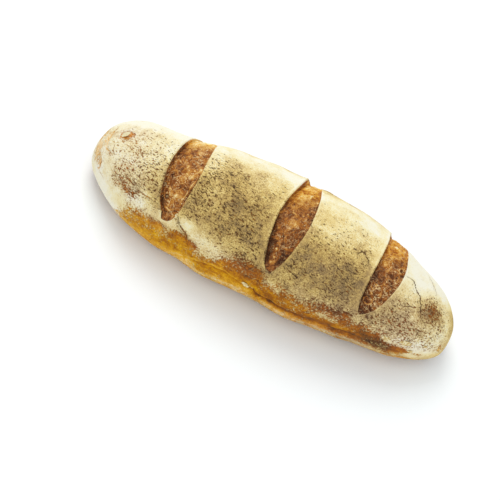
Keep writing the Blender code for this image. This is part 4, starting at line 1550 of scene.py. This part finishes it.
        # some patches of flour took a warmer brown, and over ruddy crust it looks greyer
        warm = finish.scaled(cloudy, self.warmth, ruddy, clamp=True)
        powder = finish.mix(warm, finish.ramp(toasted, self.flour_tones),
                            finish.ramp(toasted, self.mauve_tones))
        raised = finish.scaled(grain, self.grain_bump, cover)
        return finish.dress({
            "Base Color": finish.mix(cover, crust, powder),
            "Roughness": finish.ranged(cover, *self.gloss),
            "Normal": finish.bump(raised, self.bump_depth),
            "Specular IOR Level": self.specular,
        })


@dataclass(frozen=True)
class CaramelCrumb:
    """Torn dough that set and caramelised in the oven: ropey, curled and a little glossy.

    Sugars and starch on its ridges browned to red-brown and gold. Strands that dried before
    they browned stay cream.
    """

    name: str = "caramelised_torn_crumb"
    strand_pitch: float = 0.0040   # between the larger strands
    curl_pitch: float = 0.0016     # between the fine curls on them
    thread_pitch: float = 0.0040   # between thin strands that stayed cream
    crumb_pitch: float = 0.0011    # between crumbs that dried white
    curls: float = 0.6             # how much the fine curls count beside the strands
    swing: float = 1.20            # how far both lighten and darken it
    line_sway: float = 1.4         # how far a named crease wanders off its place
    line_edge: Range = (0.62, 0.15)
    line_tone: float = -0.42       # how much darker a crease is
    thread_edge: Range = (0.036, 0.008)
    thread_kept: Range = (0.40, 0.56)  # level of the strands where threads last
    crumb_edge: Range = (0.64, 0.74)
    pale: str = "#E6C58C"
    gloss: Range = (0.0, 1.0, 0.42, 0.78)
    specular: float = 0.13
    bump_depth: float = 0.00055
    brown_tones: Stops = (
        (0.0, "#45240F"), (0.20, "#6A3916"), (0.42, "#96561F"), (0.64, "#BB7C31"),
        (0.84, "#DAAC60"), (1.0, "#F0DAA4"))
    gold_tones: Stops = (
        (0.12, "#9A5310"), (0.36, "#C88220"), (0.52, "#DFA63C"), (0.72, "#EBC778"),
        (0.96, "#F6E6B4"))

    def build(self) -> bpy.types.Material:
        """Build the material from the shell's attributes and noise on object coordinates."""
        finish = Finish(self.name)
        tone, gold, cream, strand, beside = map(
            finish.charted, ("tone", "gold", "cream", "strand", "strand_side"))
        strands = finish.noise(self.strand_pitch, 5.0, 0.68, 1.2)
        curls = finish.noise(self.curl_pitch, 2.0, 0.5, 2.2)
        both = finish.scaled(curls, self.curls, strands)
        # named strands and creases: a signed distance, negative strength for a pale strand
        ragged = finish.scaled(curls, self.line_sway, beside)
        off = finish.math("ABSOLUTE", finish.centred(ragged, self.line_sway * NOISE_MIDDLE))
        line = finish.math("MULTIPLY", finish.eased(off, *self.line_edge), strand)
        marked = finish.scaled(line, self.line_tone, tone)
        middle = NOISE_MIDDLE * (1.0 + self.curls)
        level = finish.scaled(finish.centred(both, middle), self.swing, marked)
        baked = finish.mix(gold, finish.ramp(level, self.brown_tones),
                           finish.ramp(level, self.gold_tones))
        # thin curly strands run where a bent noise crosses its middle, broken up by another
        thread = finish.noise(self.thread_pitch, 1.5, 0.4, 1.6)
        apart = finish.math("ABSOLUTE", finish.centred(thread))
        broken = finish.math("MULTIPLY", finish.eased(apart, *self.thread_edge),
                             finish.eased(strands, *self.thread_kept))
        crumbs = finish.eased(finish.noise(self.crumb_pitch, 1.0), *self.crumb_edge)
        dried = finish.math("MULTIPLY", finish.math("MAXIMUM", broken, crumbs), cream)
        return finish.dress({
            "Base Color": finish.mix(dried, baked, linear_colour(self.pale)),
            "Roughness": finish.ranged(strands, *self.gloss),
            "Normal": finish.bump(both, self.bump_depth),
            "Specular IOR Level": self.specular,
        })


@dataclass(frozen=True)
class WhiteSweep:
    """Matt white-painted studio table, seamless and lightly rolled, so it takes soft shadows."""

    name: str = "matt_white_table"
    pitch: float = 0.004
    colour: str = "#F7F7F6"
    roughness: float = 0.9
    bump_depth: float = 0.0002
    bump_strength: float = 0.05

    def build(self) -> bpy.types.Material:
        """Build the material, with a faint roller texture as bump."""
        finish = Finish(self.name)
        roller = finish.noise(self.pitch)
        return finish.dress({
            "Base Color": linear_colour(self.colour),
            "Roughness": self.roughness,
            "Normal": finish.bump(roller, self.bump_depth, self.bump_strength),
        })


@dataclass(frozen=True)
class Softbox:
    """A square area light that faces a point."""

    name: str
    place: tuple[float, float, float]
    aim: tuple[float, float, float]
    side: float                  # metres
    power: float                 # watts
    colour: str

    def build(self) -> bpy.types.Object:
        """Make the light, which the camera itself doesn't see."""
        light = bpy.data.lights.new(self.name, "AREA")
        light.size = self.side
        light.energy = self.power
        light.color = linear_colour(self.colour)[:3]
        lamp = put_in_scene(self.name, light)
        turn = (Vector(self.place) - Vector(self.aim)).to_track_quat("Z", "Y")
        lamp.matrix_world = Matrix.Translation(self.place) @ turn.to_matrix().to_4x4()
        lamp.visible_camera = False
        return lamp


@dataclass
class Studio:
    """Table, soft light and the camera at the photograph's viewpoint."""

    table_size: float = 6.0
    table_cells: int = 8         # along each side
    azimuth: float = 10.0        # degrees that the camera stands round from the near side
    elevation: float = 52.0
    distance: float = 0.62
    roll: float = 21.47          # degrees that the camera is turned about its own line of sight
    aim: tuple[float, float, float] = (-0.0053, -0.02556, 0.035)
    focal_pixels: float = 938.8  # focal length in pixels of the photograph
    sensor: float = 36.0         # millimetres
    sight: Range = (0.01, 20.0)  # metres between which the camera sees
    sky_strength: float = 0.90
    sky_colour: str = "#F3FAFF"
    softboxes: tuple[Softbox, ...] = (
        Softbox("key_softbox", (-0.55, 0.75, 1.25), (0.0, 0.0, 0.0), 0.9, 10.0, "#FFFDF8"),
        Softbox("fill_softbox", (0.6, -1.3, 0.9), (0.0, 0.0, 0.03), 1.2, 4.0, "#FFFDF8"),
    )

    def table(self) -> bpy.types.Object:
        """A flat grid at z = 0, which the loaf rests on."""
        count = self.table_cells + 1
        side = np.linspace(-self.table_size / 2, self.table_size / 2, count)
        x, y = np.meshgrid(side, side, indexing="ij")
        places = np.stack([x, y, 0.0 * x], axis=-1).reshape(-1, 3)
        mesh = make_mesh("table", places, [*map(tuple, grid_quads(count, count))])
        mesh.materials.append(WhiteSweep().build())
        table = put_in_scene("table", mesh)
        return table

    def camera(self) -> bpy.types.Object:
        """The camera: azimuth, elevation and distance from its aim, then its roll."""
        azimuth, elevation = math.radians(self.azimuth), math.radians(self.elevation)
        back = Vector((math.sin(azimuth) * math.cos(elevation),
                       -math.cos(azimuth) * math.cos(elevation), math.sin(elevation)))
        right = Vector((math.cos(azimuth), math.sin(azimuth), 0.0))
        upright = Matrix((right, back.cross(right), back)).transposed().to_4x4()
        data = bpy.data.cameras.new("photo_camera")
        data.sensor_width = self.sensor
        data.lens = self.focal_pixels / PHOTO_WIDTH * self.sensor
        data.clip_start, data.clip_end = self.sight
        camera = put_in_scene("photo_camera", data)
        stand = Matrix.Translation(Vector(self.aim) + back * self.distance)
        camera.matrix_world = stand @ upright @ Matrix.Rotation(math.radians(self.roll), 4, "Z")
        bpy.context.scene.camera = camera
        return camera

    def sky(self) -> bpy.types.World:
        """An even pale sky, which stands for the white tent round the table."""
        world = bpy.data.worlds.new("white_tent")
        world.use_nodes = True
        background = world.node_tree.nodes["Background"]
        background.inputs["Color"].default_value = linear_colour(self.sky_colour)
        background.inputs["Strength"].default_value = self.sky_strength
        bpy.context.scene.world = world
        return world

    def build(self) -> None:
        """Set up everything that isn't part of the loaf."""
        self.table()
        self.camera()
        self.sky()
        for softbox in self.softboxes:
            softbox.build()
        bpy.context.scene.view_settings.view_transform = "Standard"


def report(piece: bpy.types.Object) -> None:
    """Log a finished piece with its size."""
    size = [round(side / MM, 1) for side in piece.dimensions]
    LOG.info("%s: %d faces, %s mm", piece.name, len(piece.data.polygons), size)


def main() -> None:
    """Build the loaf in order, then the studio, and report each piece."""
    logging.basicConfig(level=logging.INFO, format="%(name)s: %(message)s")
    finishes = {Surface.CRUST: FlouredCrust().build(), Surface.CRUMB: CaramelCrumb().build()}
    shell = LoafShell(Dough(), RingLayout(), LoafRelief(), CrustChart(), CrustMarks(),
                      TornCrumb())
    loaf = shell.build(finishes)
    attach(loaf, "root")
    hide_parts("loaf")
    report(loaf)
    flakes = LooseSkin(shell).build(DriedSkin().build())
    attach(flakes, "root")
    report(flakes)
    Studio().build()


if __name__ == "__main__":
    main()
